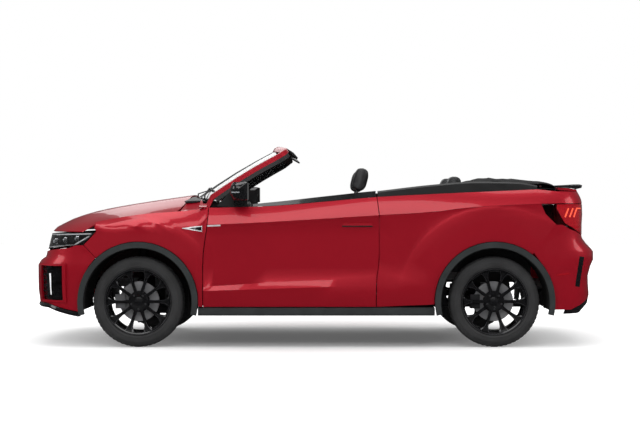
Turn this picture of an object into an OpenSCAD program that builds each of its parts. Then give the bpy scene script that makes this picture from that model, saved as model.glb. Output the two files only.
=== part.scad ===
// Open-top compact SUV with its soft top folded, doors, bonnet, boot lid and steering.
// +X points forward, +Y to the car's left, +Z up; the origin is on the ground under the middle.

/* [Whole car] */
// Overall length
car_length = 4268; // [4100:1:4500]
// Width over the wheel arch trims
body_width = 1811; // [1780:1:1900]
// Distance between the axles
wheelbase = 2630; // [2560:1:2700]
// Length of nose ahead of the front axle
front_overhang = 835; // [800:1:900]
// Height of the sills' underside above the ground
ground_clearance = 233; // [200:1:260]
// Clearance between two closed panels
shut_gap = 6; // [5:0.5:8]
// Thickness of a single painted panel
panel_t = 12; // [8:1:16]

/* [Wheels] */
// Outer radius of a tyre
tyre_r = 335; // [320:1:345]
// Width of a tyre
tyre_w = 215; // [195:1:235]
// Radius of a rim at its flange
rim_r = 246; // [225:1:255]
// Number of spokes in a rim
spoke_count = 10; // [5:1:12]
// Distance between the front tyres' middles
track_front = 1546; // [1520:1:1560]
// Distance between the rear tyres' middles
track_rear = 1541; // [1520:1:1560]
// Radius of a brake disc
disc_r = 148; // [130:1:160]
// Radius of a stub axle
stub_r = 20; // [16:1:24]
// Clearance between a pin and its bore
pin_clearance = 0.05; // [0.03:0.01:0.08]

/* [Wheel arches] */
// Inner radius of the wheel arch openings
arch_r = 400; // [390:1:410]
// Width of the arch trim seen from the side
arch_trim_w = 42; // [30:1:55]
// Radius of the front wing's bulge
front_bulge_r = 615; // [590:1:630]
// Radius of the rear quarter's bulge
rear_bulge_r = 705; // [690:1:715]

/* [Doors] */
// Distance from the front axle back to the door's front edge
door_setback = 481; // [470:1:500]
// Length of a door
door_length = 1275; // [1240:1:1290]
// Height of the door's lower edge above the ground
door_bottom_z = 299; // [285:1:320]
// Height of a door's top edge at its front end
belt_front_z = 1030; // [1015:1:1045]
// Thickness of a door
door_t = 96; // [80:1:110]
// Distance from the door's front edge back to its hinge line
door_hinge_setback = 90; // [80:1:110]
// Radius of a door hinge pin
hinge_pin_r = 5; // [4:0.5:6]

/* [Cabin] */
// Height of the top of the windscreen frame
screen_top_z = 1500; // [1460:1:1520]
// Height of the cabin floor
floor_z = 330; // [310:1:350]
// Distance from the middle of the car to the middle of a front seat
seat_y = 365; // [340:1:380]
// Width of a front seat
seat_w = 500; // [460:1:520]
// Radius of the steering wheel
steering_wheel_r = 182; // [170:1:190]

/* [Hidden] */

round_fn = 64;
seat_gap = 0.3;                                // gap between a piece and what it is fastened to
half_w = body_width / 2;
side_w = half_w - 9;                           // painted flanks lie inside the arch trims
nose_x = car_length / 2;
tail_x = -car_length / 2;
front_axle_x = nose_x - front_overhang;
rear_axle_x = front_axle_x - wheelbase;
door_front_x = front_axle_x - door_setback;
door_rear_x = door_front_x - door_length;
rear_overhang = rear_axle_x - tail_x;
// Distance behind the rear axle at share u of the tail's overhang
function behind(u) = rear_axle_x - u * rear_overhang;
front_corner_x = front_axle_x + 201;           // where the nose starts to round in plan
rear_corner_x = behind(0.397);                 // where the tail starts to round in plan
trim_r = arch_r + arch_trim_w;
panel_arch_r = trim_r + 4.5;                   // painted panels end just outside the trims

// ---------- curves through chosen points ----------
function segment(k, x, i = 0) = (i >= len(k) - 2 || x < k[i + 1][0]) ? i : segment(k, x, i + 1);
function secant(k, i) = (k[i + 1][1] - k[i][1]) / (k[i + 1][0] - k[i][0]);
function tangent(k, i) =
    i == 0 ? secant(k, 0) : i == len(k) - 1 ? secant(k, i - 1)
    : let (a = secant(k, i - 1), b = secant(k, i)) a * b <= 0 ? 0 : 2 * a * b / (a + b);
// Smooth value at x of a curve through the points [x, value], level past its ends
function curve(k, x) =
    let (i = segment(k, x), h = k[i + 1][0] - k[i][0], t = min(max((x - k[i][0]) / h, 0), 1))
    (2 * t ^ 3 - 3 * t ^ 2 + 1) * k[i][1] + (t ^ 3 - 2 * t ^ 2 + t) * h * tangent(k, i)
    + (3 * t ^ 2 - 2 * t ^ 3) * k[i + 1][1] + (t ^ 3 - t ^ 2) * h * tangent(k, i + 1);
// Straight-line value at x through the points [x, value]
function chain(k, x) =
    let (i = segment(k, x), t = min(max((x - k[i][0]) / (k[i + 1][0] - k[i][0]), 0), 1))
    k[i][1] + (k[i + 1][1] - k[i][1]) * t;
function mix(a, b, t) = a + (b - a) * t;
function smooth(t) = let (s = min(max(t, 0), 1)) s * s * (3 - 2 * s);
function power(v, p) = v <= 0 ? 0 : v ^ p;

// ---------- lines of the bodywork ----------
// Height of the shoulder crease along the flank
function crease_z(x) = curve([[behind(0.573), 1062], [behind(0.448), 1059],
    [rear_axle_x + 193, 1031], [rear_axle_x + 461, 998], [door_rear_x, 974],
    [door_front_x - 66, 907], [front_axle_x, 893], [nose_x, 840]], x);
// Height of the flank's top edge, from the tail to the door's front end
function belt_z(x) = curve([[behind(0.838), 1150], [behind(0.498), 1167], [behind(0.149), 1156],
    [rear_axle_x + 405, 1133], [door_rear_x, belt_front_z + 78], [door_rear_x + 341, belt_front_z + 49],
    [door_front_x - 434, belt_front_z + 10], [door_front_x - 40, belt_front_z]], x);
// Height and half width of the joint between bonnet and wing
function bonnet_edge_z(x) = curve([[door_front_x - 44, belt_front_z + 5], [front_axle_x - 385, 1010],
    [front_axle_x - 32, 983], [front_axle_x + 343, 921], [front_axle_x + 491, 891],
    [front_axle_x + 660, 858]], x);
function bonnet_edge_y(x) = side_w - curve([[door_front_x - 44, 78], [front_axle_x - 385, 80],
    [front_axle_x - 32, 84], [front_axle_x + 343, 118], [front_axle_x + 491, 165],
    [front_axle_x + 660, 262]], x);
// Height of the lower crease and of the top of the bright facet above it
function low_crease_z(x) = chain([[rear_axle_x + 400, 474], [door_front_x, 417]], x);
function facet_top_z(x) = chain([[rear_axle_x + 400, 560], [door_front_x, 446]], x);
// How far the lower sculpting is worn away towards the wheel arches
function sculpt(x) = smooth((x - (rear_axle_x + 440)) / 160) * smooth((door_front_x + 60 - x) / 120);

// Flank's distance from the middle plane at x and height z, before the nose and tail round in
function flank_y(x, z) =
    let (s = sculpt(x), zc = crease_z(x), zt = x > door_front_x ? bonnet_edge_z(x) : belt_z(x),
        yt = x > door_front_x ? bonnet_edge_y(x)
            : side_w - curve([[behind(0.838), 96], [behind(0.374), 62], [rear_axle_x + 400, 52],
                [door_rear_x, 50], [door_front_x - 40, 58]], x),
        waist = curve([[tail_x, 22], [rear_axle_x, 6], [rear_axle_x + 600, 12], [door_front_x, 12],
            [front_axle_x, 12], [nose_x, 20]], x))
    z >= zc
        ? let (t = min((z - zc) / max(zt - zc, 1), 1)) mix(side_w - waist, yt, 0.55 * t + 0.45 * t * t)
        : side_w - chain([[0, 60], [door_bottom_z, mix(16, 30, s)], [low_crease_z(x), mix(13, 7, s)],
            [facet_top_z(x), mix(13, 33, s)], [700, mix(13, 29, s)], [zc - 14, waist + mix(2, 9, s)],
            [zc, waist]], z);

// Swelling of the panels round a wheel, of depth d inside the bulge radius
function bulge(x, z, axle_x, r, d) =
    let (dx = x - axle_x, dz = z - tyre_r, q = norm([dx, dz]))
    d * smooth((r + 14 - q) / 34) * smooth((dz - 40) / 260);
function side_y(x, z) = flank_y(x, z)
    + bulge(x, z, front_axle_x, front_bulge_r, curve([[front_axle_x - 300, 6], [front_axle_x, 13],
        [front_axle_x + 300, 16]], x))
    + bulge(x, z, rear_axle_x, rear_bulge_r, 7);

// Foremost and rearmost reach of the body at height z
function nose_reach(z) = curve([[200, nose_x - 60], [318, nose_x - 14], [345, nose_x - 10],
    [440, nose_x], [600, nose_x], [636, nose_x - 24], [662, nose_x - 62], [700, nose_x - 72],
    [760, nose_x - 92], [846, nose_x - 116], [900, nose_x - 180]], z);
function tail_reach(z) = curve([[200, tail_x + 150], [300, tail_x + 60], [380, tail_x + 34],
    [500, tail_x + 44], [600, tail_x + 20], [640, tail_x], [700, tail_x], [730, tail_x + 24],
    [800, tail_x + 88], [860, tail_x + 94], [1000, tail_x + 86], [1080, tail_x + 92],
    [1170, tail_x + 130]], z);
nose_round = 3.5;                              // squareness of the nose and tail in plan
tail_round = 4.2;
// Point of the nose (or tail) at turn a, 0 at the flank and 90 in the middle, and height z
function nose_point(a, z) = [
    mix(front_corner_x, nose_reach(z), power(sin(a), 2 / nose_round)),
    side_y(front_corner_x, z) * power(cos(a), 2 / nose_round), z];
function tail_point(a, z) = [
    mix(rear_corner_x, tail_reach(z), power(sin(a), 2 / tail_round)),
    side_y(rear_corner_x, z) * power(cos(a), 2 / tail_round), z];
// Turn at which the nose (or tail) at height z has the given x
function nose_turn(x, z) = asin(power(
    min(max((x - front_corner_x) / (nose_reach(z) - front_corner_x), 0), 1), nose_round / 2));
function tail_turn(x, z) = asin(power(
    min(max((x - rear_corner_x) / (tail_reach(z) - rear_corner_x), 0), 1), tail_round / 2));
// Point of the left outer skin at x and z, on flank, nose or tail
function skin(x, z) = x > front_corner_x ? nose_point(nose_turn(x, z), z)
    : x < rear_corner_x ? tail_point(tail_turn(x, z), z) : [x, side_y(x, z), z];

// ---------- solids from grids ----------
// Closed wall between two equal grids of points; keep(i, j) says which cells are there
module wall(outer, inner, keep = function (i, j) true) {
    n = len(outer);
    m = len(outer[0]);
    function there(i, j) = i >= 0 && j >= 0 && i < n - 1 && j < m - 1 && keep(i, j);
    function o(i, j) = i * m + j;
    function p(i, j) = n * m + i * m + j;
    function strip(a, b, c, d) = [[a, b, c], [a, c, d]];
    faces = [for (i = [0:n - 2], j = [0:m - 2]) if (there(i, j)) each concat(
        strip(o(i, j), o(i, j + 1), o(i + 1, j + 1), o(i + 1, j)),
        strip(p(i, j), p(i + 1, j), p(i + 1, j + 1), p(i, j + 1)),
        there(i - 1, j) ? [] : strip(o(i, j), p(i, j), p(i, j + 1), o(i, j + 1)),
        there(i + 1, j) ? [] : strip(o(i + 1, j), o(i + 1, j + 1), p(i + 1, j + 1), p(i + 1, j)),
        there(i, j - 1) ? [] : strip(o(i, j), o(i + 1, j), p(i + 1, j), p(i, j)),
        there(i, j + 1) ? [] : strip(o(i, j + 1), p(i, j + 1), p(i + 1, j + 1), o(i + 1, j + 1)))];
    // The outer grid may run either way round; faces always look outward
    facing = [for (i = [0:n - 2], j = [0:m - 2]) let (q = outer[i][j])
        cross(outer[i + 1][j] - q, outer[i][j + 1] - q) * (q - inner[i][j])];
    outward = facing * [for (f = facing) 1] > 0;
    polyhedron(concat([for (r = outer) each r], [for (r = inner) each r]),
        [for (f = faces) outward ? f : [f[0], f[2], f[1]]]);
}
function steps(a, b, n) = [for (i = [0:n]) mix(a, b, i / n)];
function shift_grid(g, v) = [for (r = g) [for (q = r) q + v]];
function mirror_y(q) = [q[0], -q[1], q[2]];
module both_sides() {
    children();
    mirror([0, 1, 0]) children();
}
module rod_x(r, l) rotate([0, 90, 0]) cylinder(r = r, h = l, $fn = round_fn);
module rod_y(r, l) rotate([-90, 0, 0]) cylinder(r = r, h = l, $fn = round_fn);
// Box between two corners
module block(a, b) translate(a) cube(b - a);

// ---------- shut lines ----------
door_hinge_x = door_front_x - door_hinge_setback;
door_hinge_y = side_w - 36;
door_inner_y = side_w - door_t;
door_overhang = door_hinge_setback + 20;       // thin front edge of the door, ahead of its box
hinge_z = [380, 885];                          // heights of a door's two hinges
hinge_h = 50;
eye_r = hinge_pin_r + 3;
// Front and rear edge of the door at height z
function door_edge_front(z) = door_front_x - 40 * smooth((z - 620) / 400);
function door_edge_rear(z) = door_rear_x + chain([[door_bottom_z, 2], [500, 2], [620, -20], [975, -20],
    [belt_front_z + 80, -3]], z);
function arch_point(axle_x, a) = [axle_x + trim_r * cos(a), tyre_r + trim_r * sin(a)];
function angle_from(axle_x, q) = let (a = atan2(q[1] - tyre_r, q[0] - axle_x)) a < -90 ? a + 360 : a;
// Points from the arch out to the edge point q, with one on the bulge radius
function spoke_points(axle_x, bulge_r, q, rows) =
    let (a = angle_from(axle_x, q), e = norm([q[0] - axle_x, q[1] - tyre_r]), b = min(bulge_r, e - 24),
        to_bulge = steps(panel_arch_r, max(b - 20, panel_arch_r + 1), rows),
        beyond = e > b + 60 ? steps(b + 40, e, 2) : [for (t = [0.4, 0.7, 1]) mix(b + 14, e, t)])
    [for (r = concat(to_bulge, [b, b + 14], beyond)) [axle_x + r * cos(a), tyre_r + r * sin(a)]];

lamp_tip_x = front_axle_x + 308;
lamp_tip_z = 850;
lamp_low_x = front_axle_x + 401;
lamp_low_z = 757;
tail_lamp_tip = [behind(0.438), 1040];
tail_lamp_low = [behind(0.558), 909];

// ---------- painted panels ----------
wing_edge = concat(
    [for (z = [door_bottom_z, 400, 500, 600, 700, 800, 900, 970]) [door_edge_front(z) + shut_gap, z]],
    [for (x = concat([door_edge_front(1020) + shut_gap], steps(front_axle_x - 430, front_axle_x + 280, 8),
        [front_axle_x + 322])) [x, bonnet_edge_z(x)]],
    [[lamp_tip_x + 8, 880], [lamp_tip_x - 4, lamp_tip_z + 4], [lamp_tip_x + 30, 815],
        [lamp_low_x - 5, lamp_low_z]]);

wing_outer = [for (q = wing_edge) [for (r = spoke_points(front_axle_x, front_bulge_r, q, 4))
    [r[0], skin(r[0], r[1])[1], r[1]]]];
wing_last = len(wing_outer[0]) - 1;
wing_inner = [for (i = [0:len(wing_outer) - 1]) [for (j = [0:wing_last])
    let (top = i > 7 && i < 18 && j > wing_last - 2 ? (j == wing_last ? 1 : 0.5) : 0)
    wing_outer[i][j] + panel_t * [0, -cos(90 * top), -sin(90 * top)]]];
module front_wing() {
    wall(wing_outer, wing_inner);
    // Shelf from the wing in to the bonnet's rear corner, round the windscreen pillar's foot
    shelf = [for (u = steps(0, 1, 3)) [for (t = [0, 0.14, 0.16, 0.58, 1])
        let (x0 = t < 0.15 ? door_edge_front(1020) + shut_gap : firewall_x + 2,
            bonnet_rear_x = mix(bonnet_mid_x, bonnet_x + shut_gap, (1 - 0.17 * t) ^ 4),
            x = mix(x0, bonnet_rear_x - 3 * shut_gap, u))
        [x, mix(bonnet_edge_y(x) - 0.2, 640, t), bonnet_edge_z(x) + 62 * smooth(t * 0.9)]]];
    wall(shelf, shift_grid(shelf, [0, 0, -panel_t]));
}
module front_wings() color("crimson") both_sides() front_wing();
// Block under a panel's inner grid, a seat gap from it and reaching back to the plane axis k = at
module stay(inner, k, at, away) {
    near = shift_grid(inner, seat_gap * away);
    wall(near, [for (r = near) [for (q = r) [k == 0 ? at : q[0], k == 1 ? at : q[1], q[2]]]]);
}

quarter_edge = concat(
    [for (z = [door_bottom_z, 380, 474, 560, 650, 750, 850, 930]) [door_edge_rear(z) - shut_gap, z]],
    [for (x = concat([door_edge_rear(crease_z(door_rear_x)) - shut_gap],
        steps(door_rear_x - 110, tail_lamp_tip[0] + 12, 10))) [x, crease_z(x) - 1]],
    [[tail_lamp_tip[0] - 20, 985], tail_lamp_low]);
lid_half = 560;                                // half width of the boot lid
function lid_turn_at(z) = acos(power(lid_half / side_y(rear_corner_x, z), tail_round / 2));
lid_turn = lid_turn_at(1000);

quarter_outer = [for (q = quarter_edge) [for (r = spoke_points(rear_axle_x, rear_bulge_r, q, 4))
    skin(r[0], r[1])]];
quarter_inner = shift_grid(quarter_outer, [0, -panel_t, 0]);
module rear_quarter() {
    wall(quarter_outer, quarter_inner);
    xs = concat([door_edge_rear(1040) - shut_gap], steps(door_rear_x - 110, rear_corner_x, 9));
    function band_z(x, t) = mix(crease_z(x) + 0.55, belt_z(x), t);
    rows = [0, 0.3, 0.6, 0.85, 1];
    flank = [for (i = [0:len(xs) - 1]) [for (t = rows) let (z = band_z(xs[i], t))
        skin(i == 0 ? door_edge_rear(z) - shut_gap : xs[i], z)]];
    corner = [for (a = steps(0, lid_turn, 7)) if (a > 0) [for (t = rows)
        let (z = mix(1062, 1150, t)) tail_point(a * lid_turn_at(z) / lid_turn, z)]];
    upper = concat(flank, corner);
    depth = function (i) i < len(flank) ? [0, -1, 0] : let (a = 90 * (i - len(flank) + 1) / 7)
        [sin(a), -cos(a), 0];
    wall(upper, [for (i = [0:len(upper) - 1]) [for (q = upper[i])
        q + 90 * depth(i)]]);
}
module rear_quarters() color("crimson") both_sides() rear_quarter();

// Nose below the lamps; rows of heights, columns of turns round the corner
grille_turn = 73;
unit_turns = [21.5, 51];
unit_z = [345, 600];
// Reach from an axle to a bumper's edge: the arch below, a line to the lamp's corner q above
function edge_reach(z, q) = max(sqrt(max(panel_arch_r ^ 2 - (z - tyre_r) ^ 2, 0)),
    (z - tyre_r) * q[0] / (q[1] - tyre_r));
function bumper_left_x(z) = front_axle_x + edge_reach(z, [lamp_low_x - front_axle_x, lamp_low_z]);
function bumper_row(k, f) =                    // height of row k at share f of the half width
    let (low = nose_low_z(90 * f),
        high = chain([[0, lamp_low_z - 4], [0.18, 736], [0.62, 708], [1, 696]], f),
        zs = [low, 318 + 12 * f, 345, 405, 470, 535, 600, 636, 662, mix(662, high, 0.5), high])
    zs[k];
function nose_low_z(a) = chain([[11, 262], [40, 322], [90, 322]], a);
bumper_turns = [0, 0.5, unit_turns[0], 31, 41, unit_turns[1], 57, 65, grille_turn, 81, 90];
function bumper_point(k, c) =
    let (f = bumper_turns[c] / 90, z0 = bumper_row(k, f), a0 = nose_turn(bumper_left_x(z0), z0),
        a = c == 0 ? a0 : c == 1 ? mix(a0, unit_turns[0], 0.5) : bumper_turns[c],
        z = k == 0 ? nose_low_z(a) : z0)
    nose_point(a, z);
bumper_cols = len(bumper_turns);
bumper_outer = [for (c = [0:2 * bumper_cols - 2]) [for (k = [0:10])
    c < bumper_cols ? bumper_point(k, c) : mirror_y(bumper_point(k, 2 * bumper_cols - 2 - c))]];
bumper_inner = [for (c = [0:2 * bumper_cols - 2])
    let (a = bumper_turns[c < bumper_cols ? c : 2 * bumper_cols - 2 - c])
    [for (q = bumper_outer[c]) q - panel_t * 1.5 * [sin(a), sign(q[1]) * cos(a), 0]]];
module front_bumper() color("crimson") {
    both_sides() unit_frame();
    wall(bumper_outer, bumper_inner, function (i, j) !(j >= 2 && j <= 5
        && ((i >= 2 && i <= 4) || (i >= 15 && i <= 17) || (i >= 8 && i <= 11))));
}

// ---------- bonnet and boot lid ----------
bonnet_x = front_axle_x - 287;                 // bonnet's rear corners
bonnet_mid_x = bonnet_x - 63;
bonnet_nose_turn = 62;
bonnet_nose_z = 856;
bonnet_hinge = [bonnet_mid_x + 85, 1030];
scuttle_z = 975;                               // top of the scuttle under the windscreen
bonnet_hinge_y = 600;
function bonnet_mid_z(x) = curve([[bonnet_mid_x, 1127], [front_axle_x + 34, 1071],
    [front_axle_x + 351, 1015], [front_axle_x + 551, 960], [front_axle_x + 651, 915],
    [front_axle_x + 700, 885], [nose_reach(bonnet_nose_z), bonnet_nose_z + 4]], x);
function bonnet_side(v) =
    let (x = mix(bonnet_x + shut_gap, nose_point(bonnet_nose_turn, bonnet_nose_z)[0], v),
        w = smooth((x - front_axle_x - 300) / 90), q = skin(max(x, front_corner_x + 1), bonnet_nose_z))
    [x, mix(bonnet_edge_y(x) - shut_gap, q[1], w), mix(bonnet_edge_z(x), bonnet_nose_z, w)];
function bonnet_point(s, v) =
    let (e = bonnet_side(v), corner = nose_point(bonnet_nose_turn, bonnet_nose_z), y = s * corner[1],
        front_x = mix(front_corner_x, nose_reach(bonnet_nose_z),
            (1 - (abs(y) / side_y(front_corner_x, bonnet_nose_z)) ^ nose_round) ^ (1 / nose_round)),
        rear_x = bonnet_mid_x + (bonnet_x + shut_gap - bonnet_mid_x) * abs(s) ^ 4,
        x = mix(rear_x, front_x, v), mid_x = mix(bonnet_mid_x, nose_reach(bonnet_nose_z), v))
    [x, s * e[1], e[2] + (bonnet_mid_z(mid_x) - e[2]) * (1 - abs(s) ^ 2.6)
        + 7 * smooth((0.62 - abs(s)) / 0.1) * smooth((1 - v) * 4)];
bonnet_rows = [0, 0.08, 0.18, 0.3, 0.42, 0.54, 0.64, 0.72, 0.8, 0.87, 0.93, 0.97, 1];
bonnet_half_cols = [0.2, 0.4, 0.55, 0.63, 0.76, 0.86, 0.94, 1];
bonnet_cols = concat([for (i = [len(bonnet_half_cols) - 1:-1:0]) -bonnet_half_cols[i]], [0],
    bonnet_half_cols);
module bonnet() color("crimson") {
    outer = [for (v = bonnet_rows) [for (s = bonnet_cols) bonnet_point(s, v)]];
    wall(outer, [for (i = [0:len(bonnet_rows) - 1]) let (v = bonnet_rows[i])
        [for (q = outer[i]) q - [panel_t * smooth(v * 2 - 1), 0, mix(panel_t, 5, smooth(v * 1.6 - 0.3))]]]);
    for (s = [-1, 1]) hinge_eye_y(bonnet_hinge, s * bonnet_hinge_y);
}
// Eye round a hinge pin along Y, just under its panel
module hinge_eye_y(at, y) translate([at[0], y - 15, at[1]]) difference() {
    union() {
        rod_y(12, 30);
        translate([-9, 0, 0]) cube([18, 30, 15.5]);
    }
    translate([0, -1, 0]) rod_y(6 + pin_clearance, 32);
}
// Fork with a pin along Y, standing on a bracket h below the pin
module hinge_fork_y(at, y, h) translate([at[0], y, at[1]]) {
    translate([0, -28, 0]) rod_y(6, 56);
    for (s = [-1, 1]) translate([-9, s * 22 - 6, -h]) cube([18, 12, h + 9]);
}

lid_low_z = 808;
lid_deck = [[0.821, 1170], [0.74, 1179], [0.646, 1183]];  // shares of the overhang, heights
lid_hinge = [behind(0.677), 1158];
lid_hinge_y = 430;
function tail_row_x(y, z) = mix(rear_corner_x, tail_reach(z),
    power(1 - power(abs(y) / side_y(rear_corner_x, z), tail_round), 1 / tail_round));
function lid_row(k) = let (half = lid_half - shut_gap)
    [for (s = [-1, -0.85, -0.6, -0.3, 0, 0.3, 0.6, 0.85, 1]) let (y = s * half)
        k < 7 ? let (z = [lid_low_z, 860, 915, 980, 1040, 1090, 1138][k]) [tail_row_x(y, z), y, z]
        : let (d = lid_deck[k - 7]) [behind(d[0]) + 14 * (1 - s * s) * (k == 9 ? 0 : -1), y,
            d[1] + 12 * (1 - s * s)]];
module boot_lid() color("crimson") {
    outer = [for (k = [0:9]) lid_row(k)];
    inward = [[1, 0], [1, 0], [1, 0], [1, 0], [1, 0], [1, 0], [1, -0.25], [0.6, -0.8], [0, -1], [-0.1, -1]];
    wall(outer, [for (i = [0:9]) [for (q = outer[i])
        q + 1.5 * panel_t * [inward[i][0], 0, inward[i][1]]]]);
    for (s = [-1, 1]) translate([lid_hinge[0], s * lid_hinge_y - 15, lid_hinge[1]]) difference() {
        union() {
            rod_y(9, 30);
            translate([-40, 0, -9]) cube([27, 30, 16.5]);
            translate([-40, 0, -9]) cube([40, 30, 9]);
        }
        translate([0, -1, 0]) rod_y(6 + pin_clearance, 32);
    }
}
module boot_spoiler() {
    s_list = [-1, -0.8, -0.5, 0, 0.5, 0.8, 1];
    function lip(s, u) = let (y = s * (lid_half - 14), back = tail_row_x(y, 1100))
        [mix(behind(0.669), back - 34 + 20 * s * s, u), y,
            mix(1201, 1214 - 14 * s * s, u) + 6 * (1 - s * s)];
    top = [for (u = [0, 0.35, 0.7, 1]) [for (s = s_list) lip(s, u)]];
    drop = [6.1, 14.1, 29.1, 19.1];
    color("dimgray") wall(top, [for (i = [0:3]) [for (q = top[i]) q - [i == 3 ? -6 : 0, 0, drop[i]]]]);
}

// ---------- doors ----------
door_z = function (x) [door_bottom_z, 360, low_crease_z(x), facet_top_z(x), 590, 700, 820,
    crease_z(x) - 14, crease_z(x), mix(crease_z(x), belt_z(x), 0.45), mix(crease_z(x), belt_z(x), 0.85),
    belt_z(x)];
module door_panel() {
    backs = concat([0, 40, 80, door_overhang - 1, door_overhang],
        steps(door_overhang + 90, door_length - 30, 8), [door_length]);
    outer = [for (d = backs) let (x0 = door_front_x - d) [for (z = door_z(x0))
        let (x = mix(door_edge_front(z), door_edge_rear(z), d / door_length)) skin(x, z)]];
    inner = [for (i = [0:len(backs) - 1]) [for (q = outer[i])
        i < 4 ? q - [0, 5, 0] : [q[0], door_inner_y, q[2]]]];
    wall(outer, inner);
}
// Two hinge leaves: an eye above and below the body's arm, webbed back to the door's box
module door_hinge_eyes() for (z = hinge_z) for (s = [-1, 1])
    translate([door_hinge_x, door_hinge_y, z + s * 19 - 6]) difference() {
        web = door_hinge_x - (door_edge_front(z) - door_overhang) - 3;
        union() {
            cylinder(r = eye_r, h = 12, $fn = round_fn);
            translate([-web, -eye_r, 0]) cube([web, 2 * eye_r - 2, 12]);
        }
        translate([0, 0, -1]) cylinder(r = hinge_pin_r + pin_clearance, h = 14, $fn = round_fn);
    }
module door_hinge_arms() for (z = hinge_z) {
    translate([door_hinge_x, door_hinge_y, z - 25]) cylinder(r = hinge_pin_r, h = 50, $fn = round_fn);
    translate([door_hinge_x, door_hinge_y, z - 12.5]) cylinder(r = eye_r, h = 25, $fn = round_fn);
    block([door_hinge_x - 6, post_y - 2, z - 12.5], [door_hinge_x + 6, door_hinge_y, z + 12.5]);
}
// Pull handle, on two feet at the skin
handle_z = 902;
handle_back = [1036, 1238];                    // its ends behind the door's front edge
module door_handle() {
    ends = [for (d = handle_back) door_front_x - d];
    hull() for (x = ends) translate([x, skin(x, handle_z)[1] + 0.65, handle_z]) rotate([-90, 0, 0])
        cylinder(r = 11, h = 8, $fn = 20);
}
module door() {
    door_panel();
    door_hinge_eyes();
    door_handle();
}
// Black strip standing on the door's top edge, behind the mirror
module door_strip() {
    xs = steps(door_rear_x + 3, mirror_at[0] - 70, 10);
    function height(x) = curve([[door_rear_x, 46], [door_rear_x + 341, 39], [door_front_x - 434, 24],
        [mirror_at[0] - 60, 18]], x);
    outer = [for (x = xs) let (y = skin(x, belt_z(x))[1] - 1.5)
        [for (u = [0, 0.5, 1]) [x, y - 6 * u, belt_z(x) + seat_gap + 0.2 + u * height(x)]]];
    wall(outer, shift_grid(outer, [0, -14, 0]));
}
module door_strip_left() color("black") door_strip();
module door_strip_right() color("black") mirror([0, 1, 0]) door_strip();
module door_left() color("crimson") door();
module door_right() color("crimson") mirror([0, 1, 0]) door();

mirror_at = [door_front_x - 295, half_w + 50, 1150];
module mirror_head() {
    translate(mirror_at) intersection() {
        hull() {
            translate([30, 0, 0]) scale([0.62, 1, 0.85]) sphere(r = 100, $fn = 24);
            translate([-40, -84, -62]) cube([20, 178, 122]);
        }
        translate([-60, -96, -66]) cube([200, 200, 132]);
    }
}
module door_mirror() {
    mirror_head();
    foot_x = mirror_at[0] + 30;
    hull() {
        z = belt_z(foot_x);
        block([foot_x - 30, half_w - 62, z + seat_gap + 12], [foot_x + 40, half_w - 42, z + 60]);
        block([foot_x - 25, half_w - 30, z + 60], [foot_x + 25, half_w - 20, z + 100]);
    }
    // Sail in the window's front corner
    sail_z = belt_z(foot_x - 60) - 0.45;
    translate([foot_x, half_w - 62 - seat_gap, sail_z]) rotate([90, 0, 0]) linear_extrude(14)
        polygon([[-60, 0], [168, 3], [90, 92], [48, 132], [10, 152], [-60, 152]]);
}
module mirror_left() color("black") door_mirror();
module mirror_right() color("black") mirror([0, 1, 0]) door_mirror();

// ---------- lamps, grilles and lower trim ----------
lamp_turns = [4, 9, 16, 24, 33, 43, 53, 62];
function lamp_low(a) = chain([[4, lamp_tip_z - 6], [10, lamp_low_z], [40, 736], [62, 716]], a) + 3;
function lamp_high(a) = chain([[4, lamp_tip_z - 4], [20, 846], [62, 838]], a);
lamp_outer = [for (a = lamp_turns)
    [for (t = [0, 0.33, 0.66, 1]) nose_point(a, mix(lamp_low(a), lamp_high(a), t))]];
lamp_inner = [for (i = [0:len(lamp_turns) - 1]) [for (q = lamp_outer[i])
    q - 40 * [sin(lamp_turns[i]), cos(lamp_turns[i]), 0]]];
module headlamps() color("silver") both_sides() wall(lamp_outer, lamp_inner);

// Points across the nose at turns up to 180 and heights zs, set back from the skin by d
function nose_grid(turns, zs, d) = [for (a = turns) let (b = a > 90 ? 180 - a : a, side = a > 90 ? -1 : 1)
    [for (z = zs) let (q = nose_point(b, z)) [q[0] - d * sin(b), side * (q[1] - d * cos(b)), z]]];
module nose_insert(turns, z_low, z_high, d, t) {
    zs = steps(z_low, z_high, 3);
    wall(nose_grid(turns, zs, d), nose_grid(turns, zs, d + t));
}
// Raised frame round a corner unit, open towards the middle
frame_turns = [18.6, unit_turns[0] - 0.2, 31, 41, unit_turns[1] + 0.2, 54.5];
frame_zs = [331, unit_z[0] - 0.5, 405, 470, 535, unit_z[1] + 0.5, 616];
frame_proud = 11;
module unit_frame() wall(nose_grid(frame_turns, frame_zs, -frame_proud),
    nose_grid(frame_turns, frame_zs, -seat_gap - 0.1), function (i, j) i == 0 || j == 0 || j == 5);
upper_grille_turns = [63, 70, 78, 90, 102, 110, 117];
module front_grilles() color("black") {
    nose_insert(upper_grille_turns, 705.8, 838, 14, 20);
    for (z = [724, 750, 775, 800, 829]) nose_insert(upper_grille_turns, z - 4, z + 4, 3, 11 - seat_gap);
    nose_insert([72, 78, 84, 90, 96, 102, 108], 340, 599, 20, 14);
    for (z = [368, 402, 548, 578]) nose_insert([76, 83, 90, 97, 104], z - 4, z + 4, 8, 12 - seat_gap);
    both_sides() {
        nose_insert([20.5, 27, 34, 42, 52], 340, 599, 20.8, 14);
        // Slats either side of an upright light bar
        for (z = steps(372, 572, 5)) {
            nose_insert([23, 28, 33.5], z - 4, z + 4, 9, 11.8 - seat_gap);
            nose_insert([39, 44, 49.5], z - 4, z + 4, 9, 11.8 - seat_gap);
        }
        nose_insert([34.5, 38], 384, 544, 6, 14.8 - seat_gap);
    }
    block([nose_x - 20 + seat_gap, -200, 440], [nose_x - plate_gap - seat_gap, 200, 520]);
}
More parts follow.
